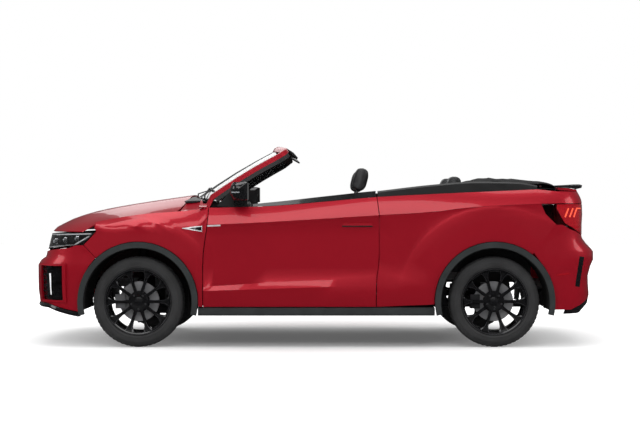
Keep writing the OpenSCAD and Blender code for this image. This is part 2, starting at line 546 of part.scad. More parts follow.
module front_splitter() {
    turns = [11, 16, 22, 30, 40, 52, 65, 78, 90];
    all = concat(turns, [for (i = [len(turns) - 2:-1:0]) 180 - turns[i]]);
    function lip(a, k) = let (b = a > 90 ? 180 - a : a, q = nose_point(b, 322), f = b / 90,
            z = nose_low_z(b) - 3.3 - 32 * (k / 2), e = k == 1 ? 10 : k == 2 ? 0 : 2)
        [q[0] + e * sin(b), (a > 90 ? -1 : 1) * (q[1] + e * cos(b) * 0.4), z];
    outer = [for (a = all) [for (k = [2, 1, 0]) lip(a, k)]];
    color("black") wall(outer, [for (i = [0:len(all) - 1]) [for (q = outer[i])
        q - 70 * [sin(all[i]), (all[i] > 90 ? -1 : 1) * abs(cos(all[i])) * 0.6, 0]]]);
}

function tail_low_z(a) = chain([[20, 278], [66, 392], [90, 392]], a);
module rear_bumper() {
    turns = [0, 0.5, 20, 32, 42, 50, 58, 66, 74, 82, 90];
    function left_x(z) = rear_axle_x - edge_reach(z, [rear_axle_x - tail_lamp_low[0], tail_lamp_low[1]]);
    function row(k, f) = let (low = tail_low_z(90 * f),
        high = chain([[0, tail_lamp_low[1] - 4], [0.25, 868], [0.55, 826], [0.62, 800], [1, 800]], f))
        [low, mix(low, 450, 0.5), 450, 520, 590, 640, 700, 722, mix(722, high, 0.5), high][k];
    function point(k, c) = let (f = turns[c] / 90, z = row(k, f), x0 = left_x(z), a0 = tail_turn(x0, z))
        c == 0 ? skin(x0, z) : c == 1 ? (a0 > 1 ? tail_point(mix(a0, 20, 0.4), z)
            : skin(mix(x0, tail_point(14, z)[0], 0.6), z)) : tail_point(turns[c], z);
    cols = len(turns);
    outer = [for (c = [0:2 * cols - 2]) [for (k = [0:9])
        c < cols ? point(k, c) : mirror_y(point(k, 2 * cols - 2 - c))]];
    inner = [for (c = [0:2 * cols - 2]) let (a = turns[c < cols ? c : 2 * cols - 2 - c])
        [for (q = outer[c]) q - panel_t * 1.5 * [-sin(a), sign(q[1]) * cos(a), 0]]];
    color("crimson") wall(outer, inner);
}
module rear_diffuser() {
    turns = [14, 20, 32, 42, 50, 58, 66, 74, 90];
    all = concat(turns, [for (i = [len(turns) - 2:-1:0]) 180 - turns[i]]);
    function edge(a, k) = let (b = a > 90 ? 180 - a : a, low = tail_low_z(b), q = tail_point(b, low),
            z = [low - 1.1, mix(low, 262, 0.5), 246][k], e = [2, 14, 90][k] * (0.3 + b / 90))
        [q[0] + e * sin(b), (a > 90 ? -1 : 1) * (q[1] - e * 0.3 * cos(b)), z];
    outer = [for (a = all) [for (k = [0, 1, 2]) edge(a, k)]];
    color("black") wall(outer, [for (i = [0:len(all) - 1]) [for (q = outer[i])
        q + 30 * [sin(all[i]), (all[i] > 90 ? 1 : -1) * abs(cos(all[i])), 0]]]);
}
module tail_lamp() {
    turns = [6, 14, 24, 34, 44, 54, 64, lid_turn - 0.4];
    function low(a) = chain([[6, 1020], [14, tail_lamp_low[1] + 4], [34, 858], [54, 832], [90, 828]], a);
    outer = [for (a = turns) [for (t = [0, 0.33, 0.66, 1]) tail_point(a, mix(low(a), 1056, t))]];
    wall(outer, [for (i = [0:len(turns) - 1]) [for (j = [0:3])
        outer[i][j] - [-40 * sin(turns[i]), 40 * cos(turns[i]), j == 3 ? -5.35 : 0]]]);
}
module tail_lamps() color("darkred") both_sides() tail_lamp();

module arch_ring(axle_x, r0, r1, y0, y1, a0, a1) translate([axle_x, y1, tyre_r]) rotate([90, 0, 0])
    rotate([0, 0, a0]) rotate_extrude(angle = a1 - a0, $fn = 96)
        translate([r0, 0]) square([r1 - r0, y1 - y0]);
module wheel_arch_trims() color("darkslategray") both_sides()
    for (x = [front_axle_x, rear_axle_x])
        arch_ring(x, arch_r, trim_r - seat_gap, half_w - 26, half_w, -13, 193);
front_liner_y = 478;                           // inner edges of the wheel arch liners
rear_wall_y = track_rear / 2 - tyre_w / 2 - 23; // body walls inside the rear wheels
rear_liner_y = rear_wall_y + 12 + seat_gap;
module wheel_arch_liners() color("black") both_sides() {
    arch_ring(front_axle_x, arch_r - 5, arch_r - seat_gap, front_liner_y, half_w - 8, -8, 188);
    arch_ring(rear_axle_x, arch_r - 5, arch_r - seat_gap, rear_liner_y, half_w - 8, -8, 188);
}

// ---------- structure under the skin ----------
post_y = door_inner_y - 6;                     // outer face of the hinge posts
firewall_x = front_axle_x - 450;
seat_back_x = rear_axle_x + 95;                // wall behind the rear seat
rail_y = front_liner_y - 30;
rail_low_z = 495 + seat_gap;                   // just above the upper suspension arms
sill_y = side_w - 18;                          // outer face of the sills
module floor_pan() color("dimgray") {
    // Main floor with its tunnel
    block([rear_axle_x + 400, -sill_y + 190, floor_z - 30], [firewall_x - 20, sill_y - 190, floor_z - 10]);
    block([rear_axle_x + 400, -90, floor_z - 10], [firewall_x - 20, 90, floor_z + 90]);
    // Inner sill boxes beside the floor
    for (s = [-1, 1]) block([rear_axle_x + 445, s > 0 ? 660 : -post_y, door_bottom_z - shut_gap + seat_gap],
        [firewall_x - 170 - seat_gap, s > 0 ? post_y : -660, floor_z + 60]);
    // Floor raised over the rear axle, then the boot floor
    block([rear_axle_x + 380, -rear_wall_y, floor_z - 30], [rear_axle_x + 400, rear_wall_y, floor_z + 160]);
    block([rear_axle_x - 300, -rear_wall_y, floor_z + 140],
        [rear_axle_x + 380, rear_wall_y, floor_z + 160]);
    block([rear_axle_x - 320, -rear_wall_y, floor_z + 90], [rear_axle_x - 300, rear_wall_y, floor_z + 160]);
    block([tail_x + 110, -rear_wall_y, floor_z + 90], [rear_axle_x - 320, rear_wall_y, floor_z + 110]);
}
module side_sills() color("darkslategray") both_sides() {
    x0 = rear_axle_x + trim_r + seat_gap;
    x1 = front_axle_x - trim_r - seat_gap;
    hull() {
        block([x0, post_y - 60, ground_clearance], [x1, sill_y - 22, ground_clearance + 10]);
        block([x0, post_y - 60, ground_clearance + 10], [x1, sill_y, door_bottom_z - shut_gap - 6]);
        block([x0, post_y - 60, ground_clearance + 10], [x1, sill_y - 12, door_bottom_z - shut_gap]);
    }
}
module front_structure() color("gray") {
    // Wall between engine and cabin, and the scuttle under the windscreen
    block([firewall_x, 94 - post_y, floor_z - 30], [firewall_x + 14, post_y - 94, scuttle_z - 12]);
    block([firewall_x, -640, scuttle_z - 12], [bonnet_mid_x - 20, 640, scuttle_z]);
    both_sides() {
        // Hinge post, with the hinge arms on it
        block([firewall_x - 170, post_y - 94, door_bottom_z], [door_hinge_x + 26, post_y, 1000]);
        block([door_hinge_x + 26, post_y - 94, door_bottom_z], [firewall_x + 14, post_y - 32, 1000]);
        door_hinge_arms();
        stay([for (i = [3, 4]) [for (j = [wing_last - 2, wing_last - 1]) wing_inner[i][j]]], 1,
            post_y - 32 + seat_gap, [0, -1, 0]);
        stay([for (i = [8, 9]) [for (k = [7, 8]) bumper_inner[i][k]]], 0,
            nose_x - 230 + seat_gap, [-1, 0, 0]);
        stay([for (i = [6, 7]) [for (j = [1, 2]) lamp_inner[i][j]]], 0,
            nose_x - 225 + seat_gap, [-1, 0, 0]);
        // Upper and lower rails beside the engine
        block([firewall_x + 14, rail_y - 70, rail_low_z], [nose_x - 230, rail_y, 580]);
        block([front_axle_x - 340, rail_y, 560], [front_axle_x + 340, front_liner_y - seat_gap, 572]);
        block([firewall_x + 14, rail_y, 560], [front_axle_x + 380, rail_y + 12, 850]);
        hinge_fork_y(bonnet_hinge, bonnet_hinge_y, bonnet_hinge[1] - scuttle_z);
        block([firewall_x, bonnet_hinge_y - 40, scuttle_z - 12],
            [bonnet_hinge[0] + 20, bonnet_hinge_y + 40, scuttle_z]);
    }
    // Cross members ahead of the engine
    block([nose_x - 260, -rail_y + 1, 470], [nose_x - 230, rail_y - 1, 580]);
    block([nose_x - 250, -rail_y + 1, 580], [nose_x - 230, -rail_y + 40, 800]);
    block([nose_x - 250, rail_y - 40, 580], [nose_x - 230, rail_y - 1, 800]);
    block([nose_x - 250, -620, 780], [nose_x - 225, 620, 812]);
}
module engine_block() color("dimgray")
    block([front_axle_x - 180, seat_gap - 330, 420], [front_axle_x + 330, 330 - seat_gap, 880]);

// ---------- windscreen, cabin ----------
screen_top = [bonnet_mid_x - 640, screen_top_z];
function screen_foot(s) = [bonnet_mid_x - 25 - 131 * s * s, s * 712, 1116 - 26 * s * s];
function screen_head(s) = [screen_top[0] - 96 * s * s, s * 585, screen_top[1] - 10 - 40 * s * s];
// Share of the height the glass reaches, lower in its rounded upper corners
function glass_reach(s) =
    chain([[0, 0.952], [0.76, 0.952], [0.86, 0.932], [0.94, 0.892], [1, 0.85]], abs(s));
function screen_bow(t) = [14 * sin(180 * t), 0, 8 * sin(180 * t)];
module windscreen_glass() color("lightgray") {
    ss = [-1, -0.94, -0.86, -0.7, -0.35, 0, 0.35, 0.7, 0.86, 0.94, 1];
    outer = [for (s = ss) [for (t = [0.01, 0.25, 0.5, 0.75, glass_reach(s)])
        let (e = s * (1 - 33.7 / mix(712, 585, t))) mix(screen_foot(e), screen_head(e), t) + screen_bow(t)]];
    wall(outer, [for (r = outer) [for (q = r) q - [4, 0, 4]]]);
}
function pillar_point(t) = mix(screen_foot(1), screen_head(1), t) + screen_bow(t);
function unit(v) = v / norm(v);
// Closed bar through equal rings of points, one ring a station
module loft(rings) {
    n = len(rings);
    m = len(rings[0]);
    sides = [for (i = [0:n - 2], j = [0:m - 1]) let (k = (j + 1) % m)
        each [[i * m + j, i * m + m + k, i * m + k], [i * m + j, i * m + m + j, i * m + m + k]]];
    caps = concat([for (j = [1:m - 2]) [0, j, j + 1]],
        [for (j = [1:m - 2]) (n - 1) * m * [1, 1, 1] + [0, j + 1, j]]);
    polyhedron([for (r = rings) each r], concat(sides, caps));
}
function header_point(s) = screen_head(s) + [-6, 0, 3];
frame_half = concat([[firewall_x - 31, post_y - 66, 1000 + seat_gap]],
    [for (t = [0.05, 0.2, 0.4, 0.6, 0.76]) pillar_point(t)],
    [for (u = steps(0, 1, 4)) mix(mix(pillar_point(0.86), screen_head(1), u),
        mix(screen_head(1), header_point(0.84), u), u)],
    [for (s = [0.6, 0.3]) header_point(s)]);
frame_path = concat(frame_half, [header_point(0)],
    [for (i = [len(frame_half) - 1:-1:0]) mirror_y(frame_half[i])]);
screen_normal = unit(cross([0, 1, 0], screen_head(0) - screen_foot(0)));
frame_section = [[-30, -20], [34, -26], [34, 8], [12, 20], [-18, 16], [-30, 8]];
frame_last = len(frame_path) - 1;
function frame_out(i) =                        // away from the glass, at station i of the frame
    unit(cross(unit(frame_path[min(i + 1, frame_last)] - frame_path[max(i - 1, 0)]), screen_normal));
module windscreen_frame() color("crimson") {
    header_visor();
    loft([for (i = [0:frame_last]) let (out = frame_out(i), foot = i == 0 || i == frame_last)
        [for (q = frame_section) frame_path[i] + (foot ? [q[1], (i == 0 ? -0.8 : 0.8) * q[0], 0]
            : -q[0] * out + q[1] * screen_normal)]]);
}
// Black visor behind the header, sloping down to the rear
module header_visor() {
    first = len(frame_half) - 3;
    gap = -frame_section[0][0] + seat_gap + 0.1;
    function edge(i, z) = frame_path[i] + gap * frame_out(i) + z * screen_normal;
    stations = [first:frame_last - first];
    wall([for (i = stations) [edge(i, 7), frame_path[i] + [-75, 0, -12], frame_path[i] + [-110, 0, -52]]],
        [for (i = stations) [edge(i, -19), frame_path[i] + [-74, 0, -32], frame_path[i] + [-104, 0, -62]]]);
}
dash_x = firewall_x - seat_gap;
dash_half_w = 636;
module dashboard() color("black") {
    translate([0, dash_half_w, 0]) rotate([90, 0, 0]) linear_extrude(2 * dash_half_w) polygon([
        [dash_x, 560], [dash_x, 985], [dash_x - 20, 1040], [dash_x - 180, 1062], [dash_x - 300, 1020],
        [dash_x - 330, 940], [dash_x - 300, 820], [dash_x - 230, 700], [dash_x - 120, 600]]);
    translate(column_at) rotate([0, -90 + column_tilt, 0]) translate([0, 0, -140]) {
        cylinder(r = 34, h = 128, $fn = round_fn);
        cylinder(r = 12, h = 154, $fn = round_fn);
    }
}
column_tilt = 24;
column_at = [dash_x - 400, seat_y, 905];
module steering_wheel() color("black") translate(column_at) rotate([0, -90 + column_tilt, 0]) {
    rotate_extrude($fn = 96) translate([steering_wheel_r - 16, 10]) circle(r = 16, $fn = 24);
    difference() {
        union() {
            translate([0, 0, -8]) cylinder(r = 62, h = 34, $fn = round_fn);
            for (a = [90, 180, 270]) rotate([0, 0, a])
                translate([0, -17, 2]) cube([steering_wheel_r - 18, 34, 14]);
        }
        translate([0, 0, -9]) cylinder(r = 12 + pin_clearance, h = 23.1 + 0.3, $fn = round_fn);
    }
}
module centre_console() color("black") {
    base = floor_z + 90 + seat_gap;
    back_x = rear_seat_x + 531;
    ramp_x = dash_x - 888;
    block([back_x, -85, base], [dash_x - 300, 85, base + 130]);
    hull() {
        block([dash_x - 301, -85, base], [dash_x - 300, 85, base + 190]);
        block([ramp_x - 1, -85, base], [ramp_x, 85, base + 130]);
    }
    block([back_x, -75, base + 130], [back_x + 300, 75, base + 215]);
}
module seat_shape(w, cushion_l, back_h, recline) {
    // Cushion
    hull() for (x = [40, cushion_l - 40], y = [-w / 2 + 45, w / 2 - 45])
        translate([x, y, 64]) scale([1, 1, 1.4]) sphere(r = 44, $fn = 16);
    // Backrest with its headrest
    translate([30, 0, 120]) rotate([0, -recline, 0]) {
        hull() for (z = [40, back_h - 30], y = [-1, 1])
            translate([0, y * (z < 50 ? w / 2 - 45 : w / 2 - 90), z]) sphere(r = z < 50 ? 52 : 40, $fn = 16);
        hull() for (x = [-12, 36], z = [back_h + 74, back_h + 180], y = [-1, 1])
            translate([z < back_h + 100 ? x : x / 2 + 6, y * (z < back_h + 100 ? 88 : 66), z])
                sphere(r = 36, $fn = 12);
        for (y = [-50, 50]) translate([18, y, back_h - 20]) cylinder(r = 7, h = 90, $fn = 16);
    }
}
front_seat_x = -230;                           // hinge line of the front seats' backs
module front_seats() color("black") for (s = [-1, 1]) translate([front_seat_x, s * seat_y, floor_z + 130]) {
    seat_shape(seat_w, 500, 560, 14);
    for (y = [-180, 180]) block([40, y - 16, -140 + seat_gap], [440, y + 16, 3.3]);
}
rear_seat_x = rear_axle_x + 380;
module rear_seat() color("black") for (s = [-1, 1])
    translate([rear_seat_x, s * 300, floor_z + 160 + seat_gap]) {
        seat_shape(540, 430, 470, 16);
        block([20, -200, 0], [400, 200, 3.3]);
    }
module rear_bulkhead() color("dimgray") {
    top_z = lid_hinge[1] - 60;
    block([seat_back_x - 12, -rear_wall_y, floor_z + 160], [seat_back_x, rear_wall_y, 1090]);
    block([lid_hinge[0] - 20, -rear_wall_y, top_z - 30], [lid_hinge[0] + 30, rear_wall_y, top_z]);
    both_sides() {
        block([lid_hinge[0] + 30, rear_wall_y - 20, top_z - 30],
            [seat_back_x - 12, rear_wall_y, top_z - 18]);
        stay([for (i = [14, 15]) [for (j = [3, 4]) quarter_inner[i][j]]], 1, rear_liner_y, [0, -1, 0]);
        block([rear_axle_x - 300, rear_wall_y, floor_z + 140],
            [seat_back_x + 160, rear_liner_y - seat_gap, 1140 - seat_gap]);
        translate([lid_hinge[0], lid_hinge_y, lid_hinge[1]]) {
            translate([0, -28, 0]) rod_y(6, 56);
            for (y = [-28, 16]) block([-7, y, -62], [7, y + 12, 6]);
        }
    }
}
// Side cover of the folded top, on the quarter's top edge
module roof_side() {
    xs = concat([door_rear_x - 12], steps(door_rear_x - 110, rear_corner_x, 9));
    function top(x) = curve([[rear_corner_x, 1196], [behind(0.2), 1220], [rear_axle_x + 130, 1224],
        [rear_axle_x + 431, 1203], [door_rear_x, 1152]], x);
    outer = [for (x = xs) let (y0 = skin(x, belt_z(x))[1] - 3, z0 = belt_z(x) + 2 * seat_gap, z1 = top(x),
            y1 = mix(y0 - 60, top_half + seat_gap + 0.1, smooth((rear_axle_x + 330 - x) / 200)))
        [[x, y0, z0], [x, y0 - 2, z1 - 12], [x, y0 - 14, z1], [x, y1, z1 - 2]]];
    wall(outer, [for (r = outer) [r[0] - [0, 9, 0], r[1] - [0, 9, 4], r[2] - [0, 3, 9], r[3] - [0, 0, 9]]]);
}
top_half = 690;                                // half width of the folded stack
module folded_soft_top() color("black") {
    both_sides() roof_side();
    xs = [for (u = [-0.162, -0.152, -0.075, 0.075, 0.311, 0.548, 0.603]) behind(u)];
    tops = [1240, 1262, 1271, 1270, 1256, 1240, 1216];
    ss = [-1, -0.96, -0.7, -0.35, 0, 0.35, 0.7, 0.96, 1];
    outer = [for (i = [0:len(xs) - 1]) [for (s = ss)
        [xs[i], s * top_half, 1165 + (tops[i] - 1165) * (1 - 0.3 * s ^ 8) - (abs(s) == 1 ? 22 : 0)]]];
    wall(outer, [for (r = outer) [for (q = r) [q[0], q[1], 1140]]]);
}

// ---------- running gear ----------
king_y = track_front / 2 - 38;                 // steering axis
strut_y = king_y - 175;
ball_z = [tyre_r - 130, tyre_r + 130];         // heights of the knuckle's two ball pins
module front_suspension() color("dimgray") {
    // Subframe
    block([front_axle_x - 260, -330, 215], [front_axle_x - 120, 330, 275]);
    block([front_axle_x + 90, -330, 225], [front_axle_x + 170, 330, 275]);
    both_sides() {
        block([front_axle_x - 260, 300, 215], [front_axle_x + 170, 352, 275]);
        block([front_axle_x - 60, 330, 275], [front_axle_x + 60, rail_y - 76, 495]);
        block([front_axle_x - 330, 300, 215], [front_axle_x - 250, 400, rail_low_z - seat_gap]);
        for (k = [0, 1]) let (z = ball_z[k]) {
            // Arm, pin and collar at each end of the steering axis
            arm_z = k == 0 ? z - 30 : z + 12;
            hull() {
                translate([front_axle_x, king_y, arm_z]) cylinder(r = 20, h = 18, $fn = 32);
                block([front_axle_x - 50, 352, arm_z + (k == 0 ? 10 : 0)],
                    [front_axle_x + 50, 362, arm_z + 18]);
            }
            translate([front_axle_x, king_y, k == 0 ? arm_z + 10 : z - 8])
                cylinder(r = 9, h = 34, $fn = round_fn);
        }
        // Spring strut
        translate([front_axle_x, strut_y, ball_z[1] + 29]) cylinder(r = 18, h = 60, $fn = round_fn);
        translate([front_axle_x, strut_y, ball_z[1] + 70]) cylinder(r = 36,
            h = tyre_r + arch_r - 8 - ball_z[1] - 70, $fn = round_fn);
    }
}
module knuckle() {
    translate([front_axle_x, 0, 0]) {
        difference() {
            union() {
                block([-30, king_y - 16, ball_z[0] - 8], [30, king_y + 16, ball_z[1] + 8]);
                translate([0, king_y - 16, tyre_r]) rod_y(58, 32);
            }
            for (z = [ball_z[0] - 9, ball_z[1] - 9])
                translate([0, king_y, z]) cylinder(r = 9 + pin_clearance, h = 28, $fn = round_fn);
        }
        translate([0, king_y + 16, tyre_r]) rod_y(stub_r, 70);
        caliper(king_y + 16, 1);
    }
}
// Brake caliper on an arm from the hub carrier at y, astride the disc on the side dir
module caliper(y, dir) translate([0, y, tyre_r]) {
    x0 = dir * (disc_r - 44);
    x1 = dir * (disc_r + 26);
    lo = min(x0, x1);
    hi = max(x0, x1);
    block([lo, 0, -52], [hi, 14, 52]);
    block([lo, 14 + 2 * disc_side_gap + disc_t, -52], [hi, 34 + 2 * disc_side_gap + disc_t, 52]);
    edge = dir * (disc_r + 6);
    block([min(edge, x1), 13, -52], [max(edge, x1), 15 + 2 * disc_side_gap + disc_t, 52]);
    block([min(0, x0), -32, -26], [max(0, x0), 0, 26]);
    block([lo, -32, -26], [hi, 0, 26]);
}
disc_t = 22;
disc_side_gap = 5;
module rear_axle() color("dimgray") {
    stub_y = track_rear / 2 - 22;
    block([rear_axle_x + 60, -560, tyre_r - 50], [rear_axle_x + 150, 560, tyre_r + 20]);
    both_sides() {
        block([rear_axle_x - 60, 540, tyre_r - 40], [rear_axle_x + 360, 600, tyre_r + 10]);
        block([rear_axle_x + 330, 540, tyre_r - 40], [rear_axle_x + 379, 600, floor_z + 90]);
        translate([rear_axle_x, 600 - 1, tyre_r]) rod_y(46, stub_y - 32 - 600 + 2);
        translate([rear_axle_x, stub_y - 32, tyre_r]) rod_y(58, 32);
        translate([rear_axle_x, stub_y, tyre_r]) rod_y(stub_r, 70);
        translate([rear_axle_x, 0, 0]) caliper(stub_y, 1);
        // Coil spring and damper, drawn as one post
        translate([rear_axle_x - 20, 560, tyre_r + 9])
            cylinder(r = 44, h = floor_z + 140 - seat_gap - tyre_r - 9, $fn = round_fn);
    }
}
module tyre(x, y) translate([x, y, tyre_r]) rotate([90, 0, 0]) rotate_extrude($fn = 120) {
    w = tyre_w / 2;
    polygon([[rim_r - 6, -w + 20], [rim_r + 8, -w + 6], [rim_r + 40, -w], [tyre_r - 40, -w + 2],
        [tyre_r - 10, -w + 16], [tyre_r, -w + 34], [tyre_r, w - 34], [tyre_r - 10, w - 16],
        [tyre_r - 40, w - 2], [rim_r + 40, w], [rim_r + 8, w - 6], [rim_r - 6, w - 20],
        [rim_r - 6, w - 34], [rim_r - 4, 0], [rim_r - 6, -w + 34]]);
}
// Spoke, narrow at the hub and flared where it meets the rim
spoke_face_y = 72;                             // spokes' outer face from the wheel's middle
spoke_t = 22;
module spoke() translate([0, spoke_face_y, 0]) rotate([90, 0, 0]) linear_extrude(spoke_t)
    polygon([[40, -17], [rim_r - 120, -9], [rim_r - 62, -12], [rim_r - 26, -30],
        [rim_r - 26, 30], [rim_r - 62, 12], [rim_r - 120, 9], [40, 17]]);
// Rim, brake disc and hub bell, side +1 facing left; face is the mounting face's distance from the middle
module rim(x, y, side, face) translate([x, y, tyre_r]) scale([1, side, 1]) {
    w = tyre_w / 2 - 12;
    inner_edge = [[16, -5], [6.3, 3], [0, 3], [0, -1.3], [6.3, -7.6], [20, -34]];
    outer_edge = [[20, -22], [6.3, -7.6], [0, -1.3], [0, 3], [6.3, 3], [14, -6], [30, -24]];
    difference() {
        union() {
            rotate([90, 0, 0]) rotate_extrude($fn = 96) polygon(concat([[rim_r - 30, 34 - w]],
                [for (q = inner_edge) [rim_r - q[0], -w - q[1]]],
                [for (q = outer_edge) [rim_r - q[0], w + q[1]]]));
            for (i = [0:spoke_count - 1]) rotate([0, i * 360 / spoke_count, 0]) spoke();
            translate([0, face, 0]) rod_y(74, 76 - face);
            translate([0, face, 0]) rod_y(disc_r - 56, 14);
            translate([0, face - disc_t + 4, 0]) rod_y(disc_r, disc_t);
        }
        translate([0, face - disc_t, 0]) rod_y(stub_r + pin_clearance, 76);
        translate([0, face - disc_t + 3, 0]) rod_y(disc_r - 66, disc_t - 3);
    }
}
module exhaust() color("dimgray") {
    translate([rear_axle_x - 470, -330, 330]) rod_y(70, 660);
    translate([rear_axle_x - 470, 0, 330]) block([-20, -40, 60], [20, 40, 90 - seat_gap + floor_z - 330]);
    translate([rear_axle_x + 200, -150, 255]) rod_x(26, firewall_x - rear_axle_x - 250);
    translate([rear_axle_x - 440, -150, 255]) rod_x(26, 650);
}
plate = [520, 112];
plate_gap = 7;                                 // front plate's back behind the nose
module plate_with_holes(x) difference() {
    block([x, -plate[0] / 2, 0], [x + 3, plate[0] / 2, plate[1]]);
    for (s = [-1, 1]) translate([x - 1, s * 150, plate[1] / 2]) rod_x(3, 5);
}
module number_plates() color("white") {
    translate([0, 0, 420]) plate_with_holes(nose_x - plate_gap);
    translate([0, 0, 470]) plate_with_holes(tail_reach(590) - 3 + 1.8);
}

hub_face_front = 16 + 14 + disc_side_gap - 38 + disc_t - 4;
hub_face_rear = 14 + disc_side_gap - 22 + disc_t - 4;
module knuckle_left() color("gray") knuckle();
module knuckle_right() color("gray") mirror([0, 1, 0]) knuckle();
module tyre_front_left() color("black") tyre(front_axle_x, track_front / 2);
module tyre_front_right() color("black") tyre(front_axle_x, -track_front / 2);
module tyre_rear_left() color("black") tyre(rear_axle_x, track_rear / 2);
module tyre_rear_right() color("black") tyre(rear_axle_x, -track_rear / 2);
module rim_front_left() color("black") rim(front_axle_x, track_front / 2, 1, hub_face_front);
module rim_front_right() color("black") mirror([0, 1, 0])
    rim(front_axle_x, track_front / 2, 1, hub_face_front);
module rim_rear_left() color("black") rim(rear_axle_x, track_rear / 2, 1, hub_face_rear);
module rim_rear_right() color("black") mirror([0, 1, 0]) rim(rear_axle_x, track_rear / 2, 1, hub_face_rear);

floor_pan();
side_sills();
front_structure();
engine_block();
front_wings();
rear_quarters();
front_bumper();
front_grilles();
front_splitter();
headlamps();
rear_bumper();
rear_diffuser();
tail_lamps();
wheel_arch_trims();
wheel_arch_liners();
windscreen_frame();
windscreen_glass();
dashboard();
centre_console();
front_seats();
rear_seat();
rear_bulkhead();
folded_soft_top();
front_suspension();
rear_axle();
exhaust();
number_plates();
bonnet();
boot_lid();
boot_spoiler();
door_left();
door_right();
door_strip_left();
door_strip_right();
mirror_left();
mirror_right();
knuckle_left();
knuckle_right();
tyre_front_left();
tyre_front_right();
tyre_rear_left();
tyre_rear_right();
rim_front_left();
rim_front_right();
rim_rear_left();
rim_rear_right();
steering_wheel();
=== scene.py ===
"""Two-door convertible compact SUV with its roof down: finishes, detail, light and camera."""

import logging
import math
from dataclasses import dataclass
from enum import Enum
from typing import Any, Callable, Iterable, Mapping, Sequence

import bmesh
import bpy
from mathutils import Matrix, Vector
from mathutils.bvhtree import BVHTree


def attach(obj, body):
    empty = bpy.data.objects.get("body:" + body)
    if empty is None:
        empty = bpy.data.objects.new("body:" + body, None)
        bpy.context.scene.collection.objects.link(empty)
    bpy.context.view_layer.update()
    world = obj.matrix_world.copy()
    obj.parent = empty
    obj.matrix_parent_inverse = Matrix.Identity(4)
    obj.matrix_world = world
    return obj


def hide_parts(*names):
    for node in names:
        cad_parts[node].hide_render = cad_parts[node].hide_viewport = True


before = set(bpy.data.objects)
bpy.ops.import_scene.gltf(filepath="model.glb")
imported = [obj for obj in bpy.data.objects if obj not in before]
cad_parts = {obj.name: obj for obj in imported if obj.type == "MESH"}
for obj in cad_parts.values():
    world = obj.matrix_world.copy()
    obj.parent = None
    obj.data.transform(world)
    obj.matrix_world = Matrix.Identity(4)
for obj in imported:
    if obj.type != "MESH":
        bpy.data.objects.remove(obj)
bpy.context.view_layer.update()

logging.basicConfig(level=logging.INFO, format="%(message)s")
log = logging.getLogger("car")

Point = Sequence[float]
Pairs = Sequence[tuple[float, float]]
Group = Sequence[bmesh.types.BMVert]
Wanted = Callable[[Group], bool]
NODES: dict[str, bpy.types.Object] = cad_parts


class Pattern(Enum):
    """Kinds of fine surface structure a finish can carry."""
    PLAIN = "plain"
    FLAKE = "flake"
    GRAIN = "grain"
    WEAVE = "weave"
    LEATHER = "leather"
    CAST = "cast"
    BRUSHED = "brushed"
    RIBBED = "ribbed"


@dataclass(frozen=True)
class Finish:
    """One surface finish.

    Attributes:
        name: Material name.
        color: Linear base colour.
        roughness: Mean roughness.
        metallic: Metal share.
        coat: Clear coat weight.
        pattern: Fine structure.
        scale: Patterns per metre.
        bump: Height of the pattern in metres.
        vary: Share by which colour and roughness vary.
        transmission: Share of light let through.
        emission: Glow strength.
    """
    name: str
    color: tuple[float, float, float]
    roughness: float = 0.5
    metallic: float = 0.0
    coat: float = 0.0
    pattern: Pattern = Pattern.PLAIN
    scale: float = 200.0
    bump: float = 0.0
    vary: float = 0.1
    transmission: float = 0.0
    emission: float = 0.0


PAINT = Finish("paint_red", (0.46, 0.0015, 0.016), 0.36, 0.45, 0.55, Pattern.FLAKE, 900, 0.0, 0.10)
# Body red darkened to near black: painted shade, so the front structure reads as shaded inside the wheel
# arches and engine bay.
SHADED_STRUCTURE = Finish("painted_structure", (0.035, 0.003, 0.005), 0.5, 0.2, 0.1, Pattern.FLAKE, 400, 0.0, 0.1)
CLADDING = Finish("cladding", (0.026, 0.031, 0.032), 0.55, 0.0, 0.0, Pattern.GRAIN, 900, 0.00012, 0.15)
GLOSS = Finish("gloss_black", (0.007, 0.007, 0.008), 0.14, 0.0, 0.6, Pattern.GRAIN, 60, 0.0, 0.3)
WHEEL = Finish("wheel_black", (0.008, 0.008, 0.009), 0.16, 0.3, 0.8, Pattern.FLAKE, 500, 0.0, 0.2)
LINER = Finish("liner", (0.008, 0.008, 0.008), 0.9, 0.0, 0.0, Pattern.GRAIN, 500, 0.0003, 0.2)
UNDERBODY = Finish("underbody", (0.012, 0.012, 0.013), 0.7, 0.0, 0.0, Pattern.GRAIN, 200, 0.0003, 0.25)
CABIN = Finish("cabin_plastic", (0.014, 0.014, 0.015), 0.6, 0.0, 0.0, Pattern.LEATHER, 260, 0.0002, 0.15)
LEATHER = Finish("upholstery", (0.022, 0.022, 0.024), 0.45, 0.0, 0.0, Pattern.LEATHER, 220, 0.0004, 0.2)
CANVAS = Finish("roof_fabric", (0.010, 0.010, 0.011), 0.95, 0.0, 0.0, Pattern.WEAVE, 900, 0.0005, 0.2)
STEEL = Finish("chassis_steel", (0.025, 0.025, 0.027), 0.55, 0.6, 0.0, Pattern.CAST, 300, 0.0003, 0.3)
DISC = Finish("brake_disc", (0.30, 0.30, 0.31), 0.45, 0.35, 0.0, Pattern.BRUSHED, 400, 0.0001, 0.2)
ALLOY = Finish("cast_alloy", (0.45, 0.45, 0.47), 0.4, 0.9, 0.0, Pattern.CAST, 300, 0.0002, 0.2)
CHROME = Finish("chrome", (0.80, 0.80, 0.82), 0.08, 1.0, 0.0, Pattern.PLAIN, 50, 0.0, 0.05)
BRIGHT = Finish("bright_trim", (0.82, 0.82, 0.84), 0.38, 0.25, 0.3, Pattern.BRUSHED, 300, 0.0, 0.04)
RUBBER = Finish("tyre_rubber", (0.028, 0.028, 0.029), 0.75, 0.0, 0.0, Pattern.GRAIN, 700, 0.0002, 0.2)
TRIM = Finish("black_trim", (0.012, 0.012, 0.013), 0.45, 0.0, 0.0, Pattern.GRAIN, 700, 0.0001, 0.15)
